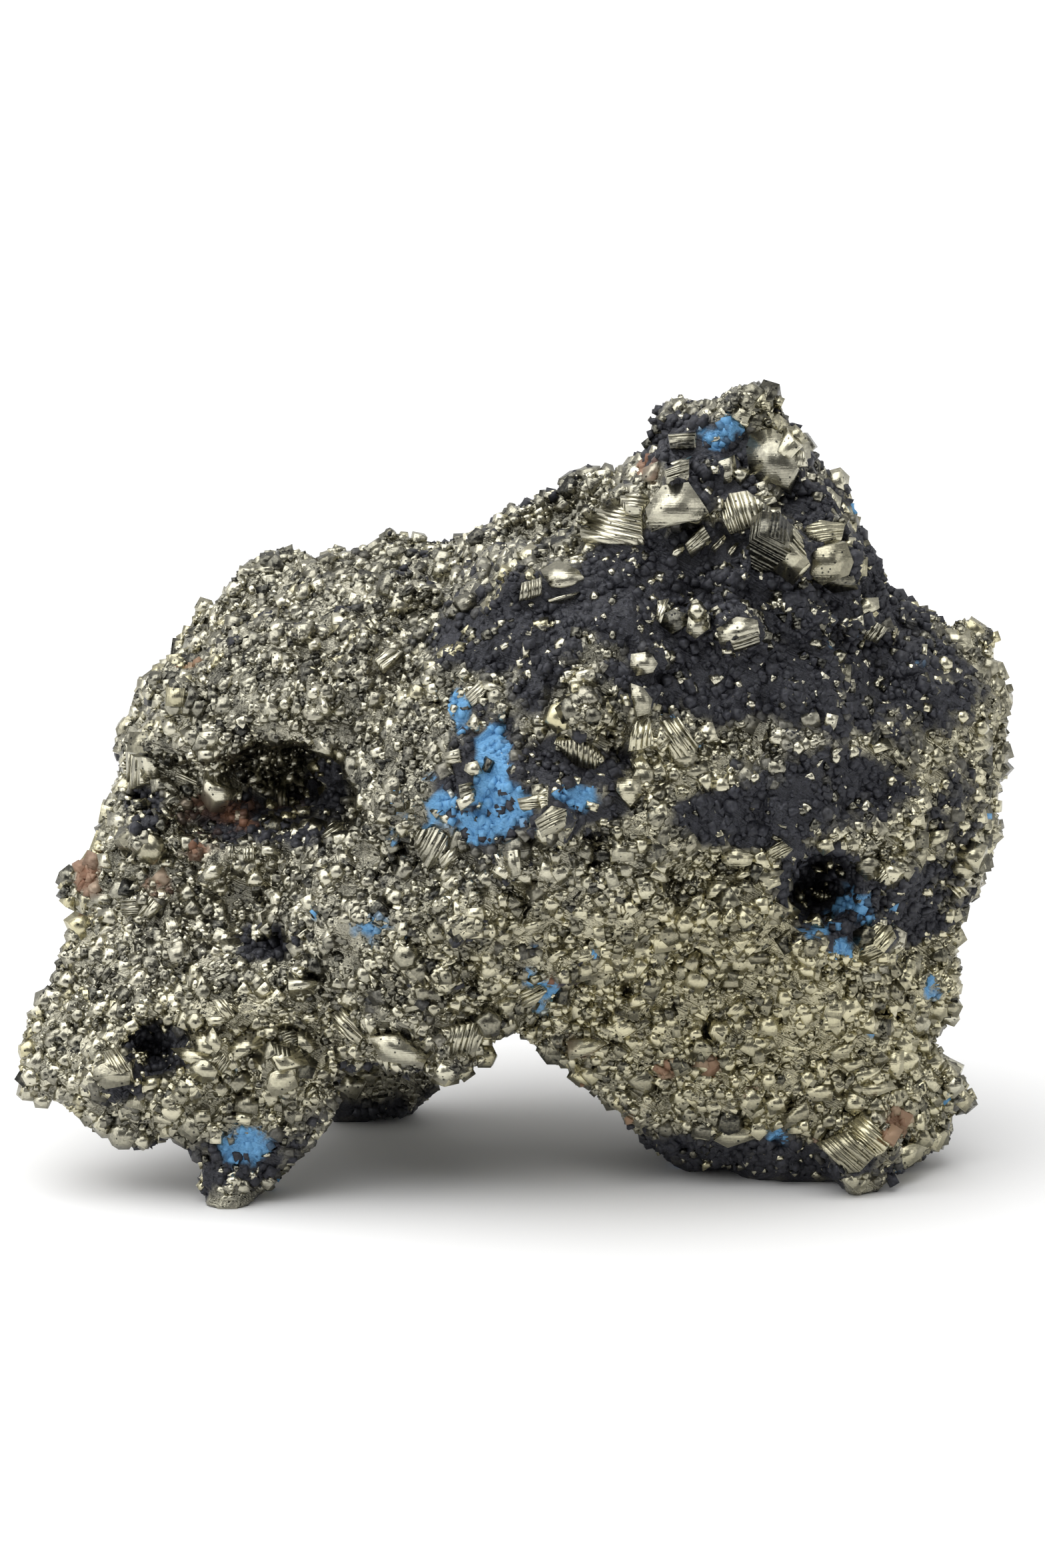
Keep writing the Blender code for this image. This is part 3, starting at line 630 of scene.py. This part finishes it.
    ([(524, 1610), (569, 1608), (560, 1626), (530, 1624)], PALE, (0, -10), None),
    ([(264, 1598), (275, 1598), (276, 1607), (264, 1608)], BRIGHT, (0, 10), None),
    ([(1082, 1277), (1095, 1267), (1131, 1283), (1127, 1297), (1104, 1304), (1083, 1293)],
     PALE, (-2, 8), None),
    ([(1151, 1275), (1174, 1261), (1190, 1274), (1177, 1287), (1154, 1287)],
     MIDDLE, (0, 8), 28),
    ([(1226, 1266), (1248, 1261), (1252, 1274), (1236, 1284), (1226, 1275)], PALE, (0, 8), None),
    ([(1396, 1248), (1425, 1244), (1421, 1259), (1397, 1272)], PALE, (6, 6), None),
    ([(1365, 1260), (1378, 1246), (1394, 1248), (1394, 1271), (1376, 1272)], DULL, (2, 0), None),
    ([(1286, 1296), (1304, 1288), (1321, 1296), (1316, 1315), (1301, 1322), (1285, 1307)],
     DULL, (-4, -6), None),
    ([(1322, 1291), (1358, 1306), (1336, 1313)], BRIGHT, (6, 14), None),
    ([(1320, 1293), (1336, 1313), (1330, 1328), (1314, 1321)], PALE, (-4, 0), 40),
    ([(1427, 1300), (1436, 1290), (1451, 1289), (1467, 1306), (1453, 1319), (1433, 1313)],
     PALE, (6, 6), None),
    ([(1465, 1309), (1488, 1305), (1494, 1316), (1480, 1325), (1468, 1316)],
     BRIGHT, (10, 8), None),
    ([(1471, 1254), (1490, 1252), (1488, 1271), (1472, 1275)], DARK, (8, -4), None),
    ([(1427, 1350), (1453, 1343), (1466, 1356), (1447, 1366), (1430, 1363)], PALE, (4, 2), None),
    ([(1421, 1330), (1436, 1320), (1454, 1341), (1439, 1348)], BRIGHT, (4, 10), -48),
    ([(1280, 1397), (1298, 1386), (1313, 1397), (1310, 1418), (1292, 1425), (1280, 1412)],
     DARK, (-6, -4), None),
    ([(1313, 1386), (1337, 1388), (1346, 1406), (1328, 1428), (1312, 1418)],
     PALE, (10, 8), 44),
    ([(1292, 1426), (1311, 1420), (1326, 1430), (1304, 1448), (1288, 1440)],
     MIDDLE, (0, -14), 30),
    ([(1207, 1415), (1216, 1409), (1229, 1413), (1228, 1430), (1216, 1436), (1207, 1430)],
     DULL, (-2, 0), None),
    ([(1208, 1441), (1218, 1437), (1225, 1447), (1212, 1451)], BRIGHT, (0, 12), None),
    ([(1218, 1303), (1233, 1304), (1240, 1311), (1224, 1310)], BRIGHT, (0, -8), None),
    ([(1233, 1304), (1246, 1288), (1249, 1303), (1240, 1311)], BRIGHT, (-6, -4), None),
    ([(1193, 1337), (1210, 1333), (1207, 1348), (1198, 1353)], MIDDLE, (0, 4), None),
    ([(1218, 1337), (1242, 1333), (1249, 1344), (1232, 1350)], MIDDLE, (4, 4), 70),
    ([(1060, 1321), (1089, 1323), (1090, 1341), (1060, 1348)], PALE, (-2, 4), None),
    ([(1104, 1313), (1123, 1303), (1126, 1312), (1110, 1320)], PALE, (0, 8), None),
    ([(1104, 1325), (1127, 1321), (1134, 1336), (1116, 1342)], DULL, (0, 4), None),
    ([(1139, 1322), (1169, 1314), (1172, 1327), (1148, 1337)], PALE, (0, 6), None),
    ([(1161, 1409), (1177, 1411), (1187, 1427), (1177, 1433)], DARK, (0, -6), None),
    ([(1120, 1434), (1154, 1431), (1155, 1444), (1127, 1447)], DULL, (0, -8), None),
    ([(1274, 1684), (1296, 1672), (1337, 1713), (1328, 1726), (1315, 1732), (1286, 1706)],
     BRIGHT, (4, 6), -42),
    ([(1224, 1716), (1270, 1698), (1314, 1733), (1290, 1758), (1272, 1760)],
     MIDDLE, (0, -14), -42),
    ([(1345, 1727), (1373, 1715), (1391, 1721), (1382, 1737), (1360, 1753), (1347, 1748)],
     PALE, (6, 0), None),
    ([(1411, 1711), (1440, 1685), (1451, 1687), (1446, 1708), (1419, 1730)],
     MIDDLE, (16, 4), None),
    ([(1245, 1577), (1274, 1562), (1283, 1568), (1272, 1584), (1253, 1588)],
     PALE, (0, 10), None),
    ([(1261, 1596), (1293, 1586), (1297, 1598), (1274, 1608)], PALE, (0, 8), None),
    ([(1293, 1625), (1339, 1621), (1345, 1633), (1317, 1644), (1296, 1642)],
     PALE, (2, 10), None),
    ([(1335, 1577), (1357, 1575), (1356, 1606), (1347, 1619), (1333, 1596)],
     BRIGHT, (4, 6), None),
    ([(1274, 1637), (1298, 1651), (1296, 1665), (1282, 1674), (1268, 1665)],
     PALE, (0, -2), None),
    ([(1207, 1634), (1253, 1624), (1248, 1651), (1221, 1652)], PALE, (0, 4), None),
    ([(1173, 1679), (1210, 1650), (1214, 1673), (1178, 1695)], MIDDLE, (-4, 0), None),
    ([(1140, 1611), (1159, 1608), (1164, 1622), (1148, 1636)], BRIGHT, (-2, 6), None),
    ([(1071, 1711), (1095, 1692), (1130, 1697), (1133, 1708), (1092, 1722)],
     PALE, (-2, -6), None),
    ([(761, 1476), (778, 1467), (784, 1478), (771, 1489), (761, 1485)], PALE, (0, 4), None),
    ([(780, 1491), (809, 1477), (821, 1487), (802, 1508), (785, 1512)], PALE, (0, 4), 30),
    ([(747, 1505), (761, 1496), (776, 1500), (768, 1518), (751, 1522)], PALE, (-2, 2), None),
    ([(744, 1402), (761, 1393), (769, 1401), (765, 1415), (747, 1412)], PALE, (0, 6), None),
    ([(596, 1385), (611, 1382), (611, 1401), (597, 1408)], PALE, (-4, 6), None),
    ([(785, 1388), (816, 1379), (810, 1390), (789, 1398)], PALE, (0, 8), None),
    ([(758, 1383), (777, 1379), (779, 1390), (761, 1396)], PALE, (0, 6), None),
    ([(820, 1426), (844, 1417), (852, 1428), (824, 1443)], PALE, (0, 4), None),
    ([(888, 1371), (899, 1365), (908, 1376), (899, 1388)], PALE, (0, 6), None),
    ([(665, 1546), (713, 1534), (728, 1552), (716, 1577), (675, 1584)], PALE, (0, -2), 78),
    ([(554, 1557), (596, 1555), (642, 1587), (634, 1601), (572, 1591)], PALE, (-2, 2), None),
    ([(851, 1563), (882, 1558), (910, 1566), (886, 1581), (854, 1591)], PALE, (0, 4), None),
    ([(775, 1577), (816, 1562), (817, 1583), (789, 1588)], MIDDLE, (-4, 4), None),
)


def shaven(outline, along, low, high):
    """The part of a flat convex outline whose distance along a direction lies between low and
    high: each border is walked, and a new corner is put where it crosses a limit."""
    for limit, side in ((low, 1), (high, -1)):
        kept = []
        for first, second in zip(outline, np.roll(outline, -1, axis=0)):
            before, after = side * (first @ along - limit), side * (second @ along - limit)
            if before >= 0:
                kept.append(first)
            if before * after < 0:
                kept.append(first + (second - first) * before / (before - after))
        if len(kept) < 3:
            return None
        outline = np.array(kept)
    return outline


def prism(front, back):
    """The faces of a block with a front and a back of the same number of corners: two fans
    and a band of triangles between them. Gives points and faces, numbered from nothing."""
    count = len(front)
    near, far = np.arange(count), np.arange(count) + count
    after = np.roll(near, -1)
    fan = np.stack([np.zeros(count - 2, int), near[1:-1], near[2:]], 1)
    band = np.stack([near, far, after + count], 1)
    other = np.stack([near, after + count, after], 1)
    return np.concatenate([front, back]), np.concatenate([fan, fan[:, ::-1] + count, band, other])


def struck(pixels):
    """Where the sight lines through photo pixels meet the CAD solid, or None."""
    hits = []
    for line in sight_lines(pixels):
        place, _, _, _ = sight_tree.ray_cast(tuple(EYE * MM), tuple(line))
        if place is None:
            return None
        hits.append(np.array(place) / MM)
    return np.array(hits)


Seat = namedtuple("Seat", "origin ring reach normal side rise tone striae")


def seat(outline, lean, tone, striae):
    """The plane of a crystal's front: about halfway between facing the eye and lying along
    the surface, then turned by its lean, and moved out until its corners stand a little
    proud. Its ring is the outline on that plane, taken counterclockwise round its origin."""
    pixels = np.array(outline, float)
    hits = struck(np.concatenate([pixels, [pixels.mean(0)]]))
    if hits is None:
        return None
    middle = hits.mean(0)
    slope = np.linalg.svd(hits - middle)[2][2]
    slope = slope * (-1 if slope @ FORWARD > 0 else 1)
    normal = slope * SLOPE_SHARE - FORWARD * (1 - SLOPE_SHARE)
    right, up = math.tan(math.radians(lean[0])), math.tan(math.radians(lean[1]))
    normal = normal + ACROSS * right + UPWARD * up
    normal /= np.linalg.norm(normal)
    lines = sight_lines(pixels)
    height = np.quantile((hits - middle) @ normal, CLEARED_SHARE) + CRYSTAL_LIFT
    ahead = ((middle - EYE) @ normal + height) / (lines @ normal)
    corners = EYE + lines * ahead[:, None]
    side = np.cross(UPWARD, normal)
    side /= np.linalg.norm(side)
    rise = np.cross(normal, side)
    origin = corners.mean(0)
    reach = np.linalg.norm(corners - origin, axis=1).max()
    ring = np.stack([(corners - origin) @ side, (corners - origin) @ rise], 1)
    ring = ring if np.cross(ring, np.roll(ring, -1, axis=0)).sum() > 0 else ring[::-1]
    return Seat(origin, ring, reach, normal, side, rise, tone, striae)


def over_front(front, points, margin):
    """Which points lie over or under a crystal's front: on the inner side of each border of
    its ring, or outside it by no more than the margin."""
    away = points - front.origin
    spot = np.stack([away @ front.side, away @ front.rise], 1)
    held = np.ones(len(points), bool)
    for first, second in zip(front.ring, np.roll(front.ring, -1, axis=0)):
        border = (second - first) / np.linalg.norm(second - first)
        held &= np.cross(border, spot - first) > -margin
    return held


def plates(front, index):
    """A crystal's front as plates: the whole ring, or where it has striae, bands along them
    of hashed widths, heights and leans. Gives each plate's ring with the rise at each corner,
    and the way across the striae."""
    if front.striae is None:
        return [(front.ring, np.zeros(len(front.ring)))], np.array([0.0, 1.0])
    angle = math.radians(front.striae)
    over = np.array([-math.sin(angle), math.cos(angle)])
    low, high = (front.ring @ over).min(), (front.ring @ over).max()
    made, step = [], 0
    while low < high:
        chance = [hashed(np.array([index, step, k]), PLATE_SEED) for k in range(3)]
        width = PLATE * (PLATE_LEAST + PLATE_MORE * chance[0])
        ring = shaven(front.ring, over, low, min(low + width, high))
        if ring is not None:
            lean = over * PLATE_SLOPE * (chance[2] - 0.5) * 2
            rises = PLATE_STEP * (chance[1] - 0.5) * 2 + (ring - ring.mean(0)) @ lean
            made.append((ring, rises))
        low, step = low + width, step + 1
    return made, over


seats = [seat(outline, lean, tone, striae) for outline, tone, lean, striae in CRYSTALS]
seats = [found for found in seats if found is not None]

block_points, block_faces, block_tone_and_painted_light, block_stria = [], [], [], []
block_count = 0
for index, front in enumerate(seats):
    made, over = plates(front, index)
    for ring, rises in made:
        base = front.origin + ring[:, :1] * front.side + ring[:, 1:] * front.rise
        points, faces = prism(
            base + rises[:, None] * front.normal, base - CRYSTAL_DEPTH * front.normal
        )
        block_points.append(points)
        block_faces.append(faces + block_count)
        block_count += len(points)
        # Each plate keeps its front's painted reflection and shade, changed a little at random.
        uneven = hashed(np.array([index, len(block_points), 5]), TONE_SEED) - 0.5
        block_tone_and_painted_light.append(np.full(len(points), front.tone + TONE_SPREAD * uneven))
        block_stria.append(np.tile(ring @ over, 2) + index * STRIAE_APART)

# The mass steps back from each front, so that no grain of it pokes through.
for front in seats:
    away = skin - front.origin
    height = away @ front.normal
    near = (height > -MASS_BEHIND) & (height < MASS_HIGHEST)
    near = np.flatnonzero(near & ((away * away).sum(1) < MASS_FURTHEST_SQUARED))
    near = near[over_front(front, skin[near], MASS_MARGIN)]
    skin[near] -= front.normal * (height[near] + MASS_BEHIND)[:, None]

mass_mesh.vertices.foreach_set("co", (skin * MM).astype(np.float32).ravel())
mass_mesh.update()

# Pits are darkened as soot and as painted shade, and have no crust.
soot, blue, rust, brass, grey = stains_and_shade(skin, skin_normals)
mass_tone = MASS_TONE + FACET_TONE * facet_tone + BRASS_TONE * brass + GREY_TONE * grey
marked(
    mass_mesh, soot=np.maximum(soot, pit_painted_shade), blue=blue * (1 - pit_painted_shade), rust=rust,
    tone=np.clip(mass_tone, 0, 1), brass=brass, stria=skin @ np.array(STRIAE_WAY),
)


def piece_of(name, points, faces, finish, **marks):
    """A new piece of points in mm and triangles, with its finish and with numbers stored at
    its points. It rides with the lump."""
    mesh = bpy.data.meshes.new(name)
    mesh.vertices.add(len(points))
    mesh.vertices.foreach_set("co", (points * MM).astype(np.float32).ravel())
    mesh.loops.add(faces.size)
    mesh.loops.foreach_set("vertex_index", faces.astype(np.int32).ravel())
    mesh.polygons.add(len(faces))
    mesh.polygons.foreach_set("loop_start", np.arange(0, faces.size, 3, dtype=np.int32))
    mesh.polygons.foreach_set("loop_total", np.full(len(faces), 3, np.int32))
    mesh.update(calc_edges=True)
    mesh.validate()
    marked(mesh, **marks)
    mesh.materials.append(finish)
    made = bpy.data.objects.new(name, mesh)
    bpy.context.scene.collection.objects.link(made)
    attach(made, "root")
    return made


# Grown faces are nearly smooth, with a shallow bump, so they reflect the lights in patches.
crystal_finish = pyrite_finish("crystal_pyrite", CRYSTAL_GRAIN, CRYSTAL_BUMP)
block_points = np.concatenate(block_points)
_, _, rust, brass, _ = stains_and_shade(block_points, np.tile(-FORWARD, (len(block_points), 1)))
clean = np.zeros(len(block_points))
piece_of(
    "front_crystals", block_points, np.concatenate(block_faces), crystal_finish,
    soot=clean, blue=clean, rust=rust * FRONT_RUST, tone=np.concatenate(block_tone_and_painted_light),
    brass=brass, stria=np.concatenate(block_stria),
)


# The small crystals that cover everything else: cubes, bricks, wedges and pyritohedra from
# a third of a millimetre up, half sunk into the mass. In each patch many lie nearly
# parallel, because they grew on the same face.

# How many of each habit, and its size beside the cube's.
CARPET = {
    "cube": (14000, 1.0), "brick": (15500, 1.15), "wedge": (21000, 1.05),
    "pyritohedron": (3600, 1.5),
}
CARPET_SEED = 7
# The width of a patch in mm, and its seeds: for its place, and for the way it is turned.
PATCH, PATCH_SEED, TURN_SEED = 3.2, 83, 89
# The share of crystals that lie nearly as their patch does, and how far those and the
# others are turned away from it.
PARALLEL_SHARE, PARALLEL_SPREAD, FREE_SPREAD = 0.55, 0.12, 1.5
# Sizes in mm: the smallest, what chance adds to any, and what it adds to a few, which are
# fewer the higher the rarity. Bricks and wedges are stretched by the least and some more.
SMALLEST, USUAL_EXTRA, RARE_EXTRA, RARITY = 0.36, 0.30, 0.9, 3.5
STRETCH_LEAST, STRETCH_MORE = 0.45, 0.75
# How far in mm they stray from the face they grow on, and how deep they sink into it beside
# their size: the least, and some more.
STRAY, SUNK_LEAST, SUNK_MORE = 0.12, 0.22, 0.2
# How the tones are spread, with both dark and bright faces common. The share of fresh bright
# faces, painted as glints with the palest tone and no soot, the share of crystals in soot that
# are sooty, and the largest size that crust covers.
TONE_SHAPE = (1.6, 1.5)
GLINT_SHARE, SOOTED_SHARE, LARGEST_CRUSTED = 0.10, 0.92, 0.7
# How far brassy stretches, grey ones and soot with its painted shade change the tone, and how
# strongly soot, crust and grey stretches keep crystals small.
SMALL_BRASS, SMALL_GREY, SOOT_DULLS = 0.12, 0.08, 0.55
SOOT_SHRINKS, CRUST_SHRINKS, GREY_SHRINKS = 0.7, 0.6, 0.35
# The stretch of striae noise that they are read from, in mm.
STRIAE_STRETCH = 60
# How far outside a large crystal's front the small ones keep, how far behind it, and how far
# above the floor, in mm.
FRONT_MARGIN, FRONT_BEHIND, FLOOR_GAP = 0.22, 1.2, 0.02
# Half the side of the cube inside a pyritohedron, beside its size.
INNER_CUBE = 0.36
HABITS = {
    "cube": (
        [(x, y, z) for x in (-0.5, 0.5) for y in (-0.5, 0.5) for z in (-0.5, 0.5)],
        [(0, 1, 3, 2), (4, 6, 7, 5), (0, 4, 5, 1), (2, 3, 7, 6), (0, 2, 6, 4), (1, 5, 7, 3)],
    ),
    "wedge": (
        [(-0.6, -0.45, -0.4), (0.6, -0.35, -0.4), (0.5, 0.5, -0.4), (-0.5, 0.4, -0.4),
         (-0.35, 0.0, 0.5), (0.45, 0.1, 0.35)],
        [(0, 3, 2, 1), (0, 1, 5, 4), (2, 3, 4, 5), (1, 2, 5), (3, 0, 4)],
    ),
}


def fans(faces):
    """Each face as triangles that share its first corner."""
    return np.array([(f[0], f[i], f[i + 1]) for f in faces for i in range(1, len(f) - 1)])


def pyritohedron():
    """The hull of a cube's eight corners and twelve more above its faces, which makes twelve
    five-sided faces, as a fool's gold crystal has."""
    corners = [(x, y, z) for x in (-1, 1) for y in (-1, 1) for z in (-1, 1)]
    for a in (-1.5, 1.5):
        for b in (-0.75, 0.75):
            corners += [(0, a, b), (a, b, 0), (b, 0, a)]
    hull = bmesh.new()
    for corner in corners:
        hull.verts.new(tuple(c * INNER_CUBE for c in corner))
    bmesh.ops.convex_hull(hull, input=hull.verts)
    bmesh.ops.triangulate(hull, faces=hull.faces)
    bmesh.ops.recalc_face_normals(hull, faces=hull.faces)
    hull.verts.index_update()
    points = np.array([v.co for v in hull.verts])
    faces = np.array([[v.index for v in f.verts] for f in hull.faces])
    hull.free()
    return points, faces


def turns(quaternions):
    """The turning matrices of unit quaternions, worked out from their products."""
    w, x, y, z = quaternions.T
    return np.stack([
        1 - 2 * (y * y + z * z), 2 * (x * y - z * w), 2 * (x * z + y * w),
        2 * (x * y + z * w), 1 - 2 * (x * x + z * z), 2 * (y * z - x * w),
        2 * (x * z - y * w), 2 * (y * z + x * w), 1 - 2 * (x * x + y * y),
    ], 1).reshape(-1, 3, 3)


face_count = len(mass_mesh.polygons)
centres = np.empty(face_count * 3, np.float32)
mass_mesh.polygons.foreach_get("center", centres)
centres = centres.reshape(-1, 3).astype(float) / MM
face_normals = np.empty(face_count * 3, np.float32)
mass_mesh.polygons.foreach_get("normal", face_normals)
face_normals = face_normals.reshape(-1, 3).astype(float)
areas = np.empty(face_count, np.float32)
mass_mesh.polygons.foreach_get("area", areas)
chances = areas.astype(float) * (centres[:, 2] > CLEAR_OF_FLOOR)
chances /= chances.sum()

chance = np.random.default_rng(CARPET_SEED)
for habit, (count, habit_size) in CARPET.items():
    if habit == "pyritohedron":
        shape, shape_faces = pyritohedron()
    else:
        shape, shape_faces = HABITS["wedge" if habit == "wedge" else "cube"]
        shape, shape_faces = np.array(shape, float), fans(shape_faces)

    # Where they sit, and what covers them there.
    picked = chance.choice(face_count, count, p=chances)
    ground = centres[picked] + chance.normal(0, STRAY, (count, 3))
    normals = face_normals[picked]
    soot, blue, rust, brass, grey = stains_and_shade(ground, normals)

    # How they are turned.
    patch, _ = mosaic(ground, PATCH, PATCH_SEED)
    patch_turn = np.stack([hashed(patch, TURN_SEED + k) for k in range(4)], 1) - 0.5
    free_turn = chance.normal(0, 1, (count, 4))
    parallel = chance.random(count) < PARALLEL_SHARE
    loose = np.where(parallel, PARALLEL_SPREAD, FREE_SPREAD)[:, None]
    quaternions = patch_turn / np.linalg.norm(patch_turn, axis=1, keepdims=True)
    quaternions = quaternions + loose * free_turn
    quaternions /= np.linalg.norm(quaternions, axis=1, keepdims=True)
    turned = turns(quaternions)

    # How big they are: smaller in soot, in blue crust and on the grey ridge.
    small = np.clip(SOOT_SHRINKS * soot + CRUST_SHRINKS * blue + GREY_SHRINKS * grey, 0, 1)
    size = SMALLEST + USUAL_EXTRA * chance.random(count)
    size = size + (1 - small) * RARE_EXTRA * chance.random(count) ** RARITY
    size *= habit_size
    stretch = np.ones((count, 3))
    if habit in ("brick", "wedge"):
        stretch = STRETCH_LEAST + STRETCH_MORE * chance.random((count, 3))
    depth = size * (SUNK_LEAST + SUNK_MORE * chance.random(count))
    sunk = ground - normals * depth[:, None]
    local = shape[None] * stretch[:, None] * size[:, None, None]
    points = np.einsum("nij,nvj->nvi", turned, local) + sunk[:, None]

    # None goes through the floor or stands before a larger crystal's front.
    kept = points[:, :, 2].min(1) > FLOOR_GAP
    for front in seats:
        gap = sunk - front.origin
        near = ((gap * gap).sum(1) < (front.reach + 1) ** 2) & (gap @ front.normal > -FRONT_BEHIND)
        near = np.flatnonzero(near)
        kept[near[over_front(front, sunk[near], FRONT_MARGIN)]] = False

    # Brassy stretches are brighter and grey ones duller, and soot with its painted shade dulls all
    # but the glints, which are painted highlights with the palest tone.
    tone = chance.beta(*TONE_SHAPE, count) + SMALL_BRASS * brass - SMALL_GREY * grey
    glint = chance.random(count) < GLINT_SHARE
    tone = np.where(glint, 1.0, np.clip(tone, 0, 1) * (1 - SOOT_DULLS * soot))
    soot = np.where(glint, 0.0, soot) * (chance.random(count) < SOOTED_SHARE)
    stria = local[:, :, 1] + chance.random(count)[:, None] * STRIAE_STRETCH
    blue = blue * (size < LARGEST_CRUSTED)
    each = len(shape)
    faces = shape_faces[None] + (np.arange(kept.sum()) * each)[:, None, None]
    piece_of(
        f"small_{habit}s", points[kept].reshape(-1, 3), faces.reshape(-1, 3), crystal_finish,
        soot=np.repeat(soot[kept], each), blue=np.repeat(blue[kept], each),
        rust=np.repeat(rust[kept], each), tone=np.repeat(tone[kept], each),
        brass=np.repeat(brass[kept], each), stria=stria[kept].ravel(),
    )


# The studio: white paper under the cluster, a big soft light overhead, and smaller ones to
# the left, to the right and high in front. Elsewhere it is dark behind the camera and paler
# behind the cluster, which is what gives the metal its greys.
FLOOR_WHITE = "#F4F4F4"
FLOOR_HALF = 3000.0
# Soft lights: the way to each, its half width and the width of its soft edge in degrees, and
# its strength.
LIGHTS = (
    ((-0.25, -0.1, 1.0), 42, 14, 2.2), ((-1.0, -0.35, 0.45), 30, 10, 1.5),
    ((1.0, -0.2, 0.5), 20, 8, 1.0), ((0.1, -1.0, 1.15), 14, 6, 1.2),
)
# How bright the room is behind the camera and behind the cluster, and how bright the white is
# that the camera sees.
DARK_GLOW, PALE_GLOW, BACKDROP = 0.16, 0.85, 1.1

floor_mesh = bpy.data.meshes.new("floor")
half = FLOOR_HALF * MM
floor_corners = [(-half, -half, 0), (half, -half, 0), (half, half, 0), (-half, half, 0)]
floor_mesh.from_pydata(floor_corners, [], [(0, 1, 2, 3)])
floor = bpy.data.objects.new("floor", floor_mesh)
bpy.context.scene.collection.objects.link(floor)
paper = bpy.data.materials.new("white_paper")
paper.use_nodes = True
# Matt paper, with hardly any shine.
paper_shader = paper.node_tree.nodes["Principled BSDF"]
paper_shader.inputs["Base Color"].default_value = linear(FLOOR_WHITE)
paper_shader.inputs["Roughness"].default_value = 0.9
paper_shader.inputs["Specular IOR Level"].default_value = 0.1
floor_mesh.materials.append(paper)

studio = bpy.data.worlds.new("studio")
bpy.context.scene.world = studio
studio.use_nodes = True
sky = studio.node_tree
for old in list(sky.nodes):
    sky.nodes.remove(old)
way = node(sky, "TexCoord", None, "Generated")
ahead = node(sky, "SeparateXYZ", None, "Y", Vector=way)


def panel(centre, reach, softness, strength):
    """A round patch of light in the sky: how near the way looked is to the patch's middle,
    turned into a soft-edged step."""
    length = math.sqrt(sum(c * c for c in centre))
    aim = [c / length for c in centre]
    near = node(sky, "VectorMath", {"operation": "DOT_PRODUCT"}, "Value", i0=way, i1=aim)
    edge = math.cos(math.radians(reach))
    inner = math.cos(math.radians(max(reach - softness, 0)))
    return node(
        sky, "MapRange", {"interpolation_type": "SMOOTHSTEP"}, "Result",
        Value=near, From_Min=edge, From_Max=inner, To_Min=0.0, To_Max=strength,
    )


glow = node(
    sky, "MapRange", None, "Result", Value=ahead, From_Min=-0.6, From_Max=0.5,
    To_Min=DARK_GLOW, To_Max=PALE_GLOW,
)
for light in LIGHTS:
    glow = node(sky, "Math", {"operation": "ADD"}, i0=glow, i1=panel(*light))

# The camera itself sees plain white all round.
seen = node(sky, "LightPath", None, "Is Camera Ray")
lit = node(sky, "Background", None, Color=(1, 1, 1, 1), Strength=glow)
plain = node(sky, "Background", None, Color=(1, 1, 1, 1), Strength=BACKDROP)
sight = node(sky, "MixShader", None, i0=seen, i1=lit, i2=plain)
node(sky, "OutputWorld", None, None, Surface=sight)
bpy.context.scene.view_settings.view_transform = "Standard"
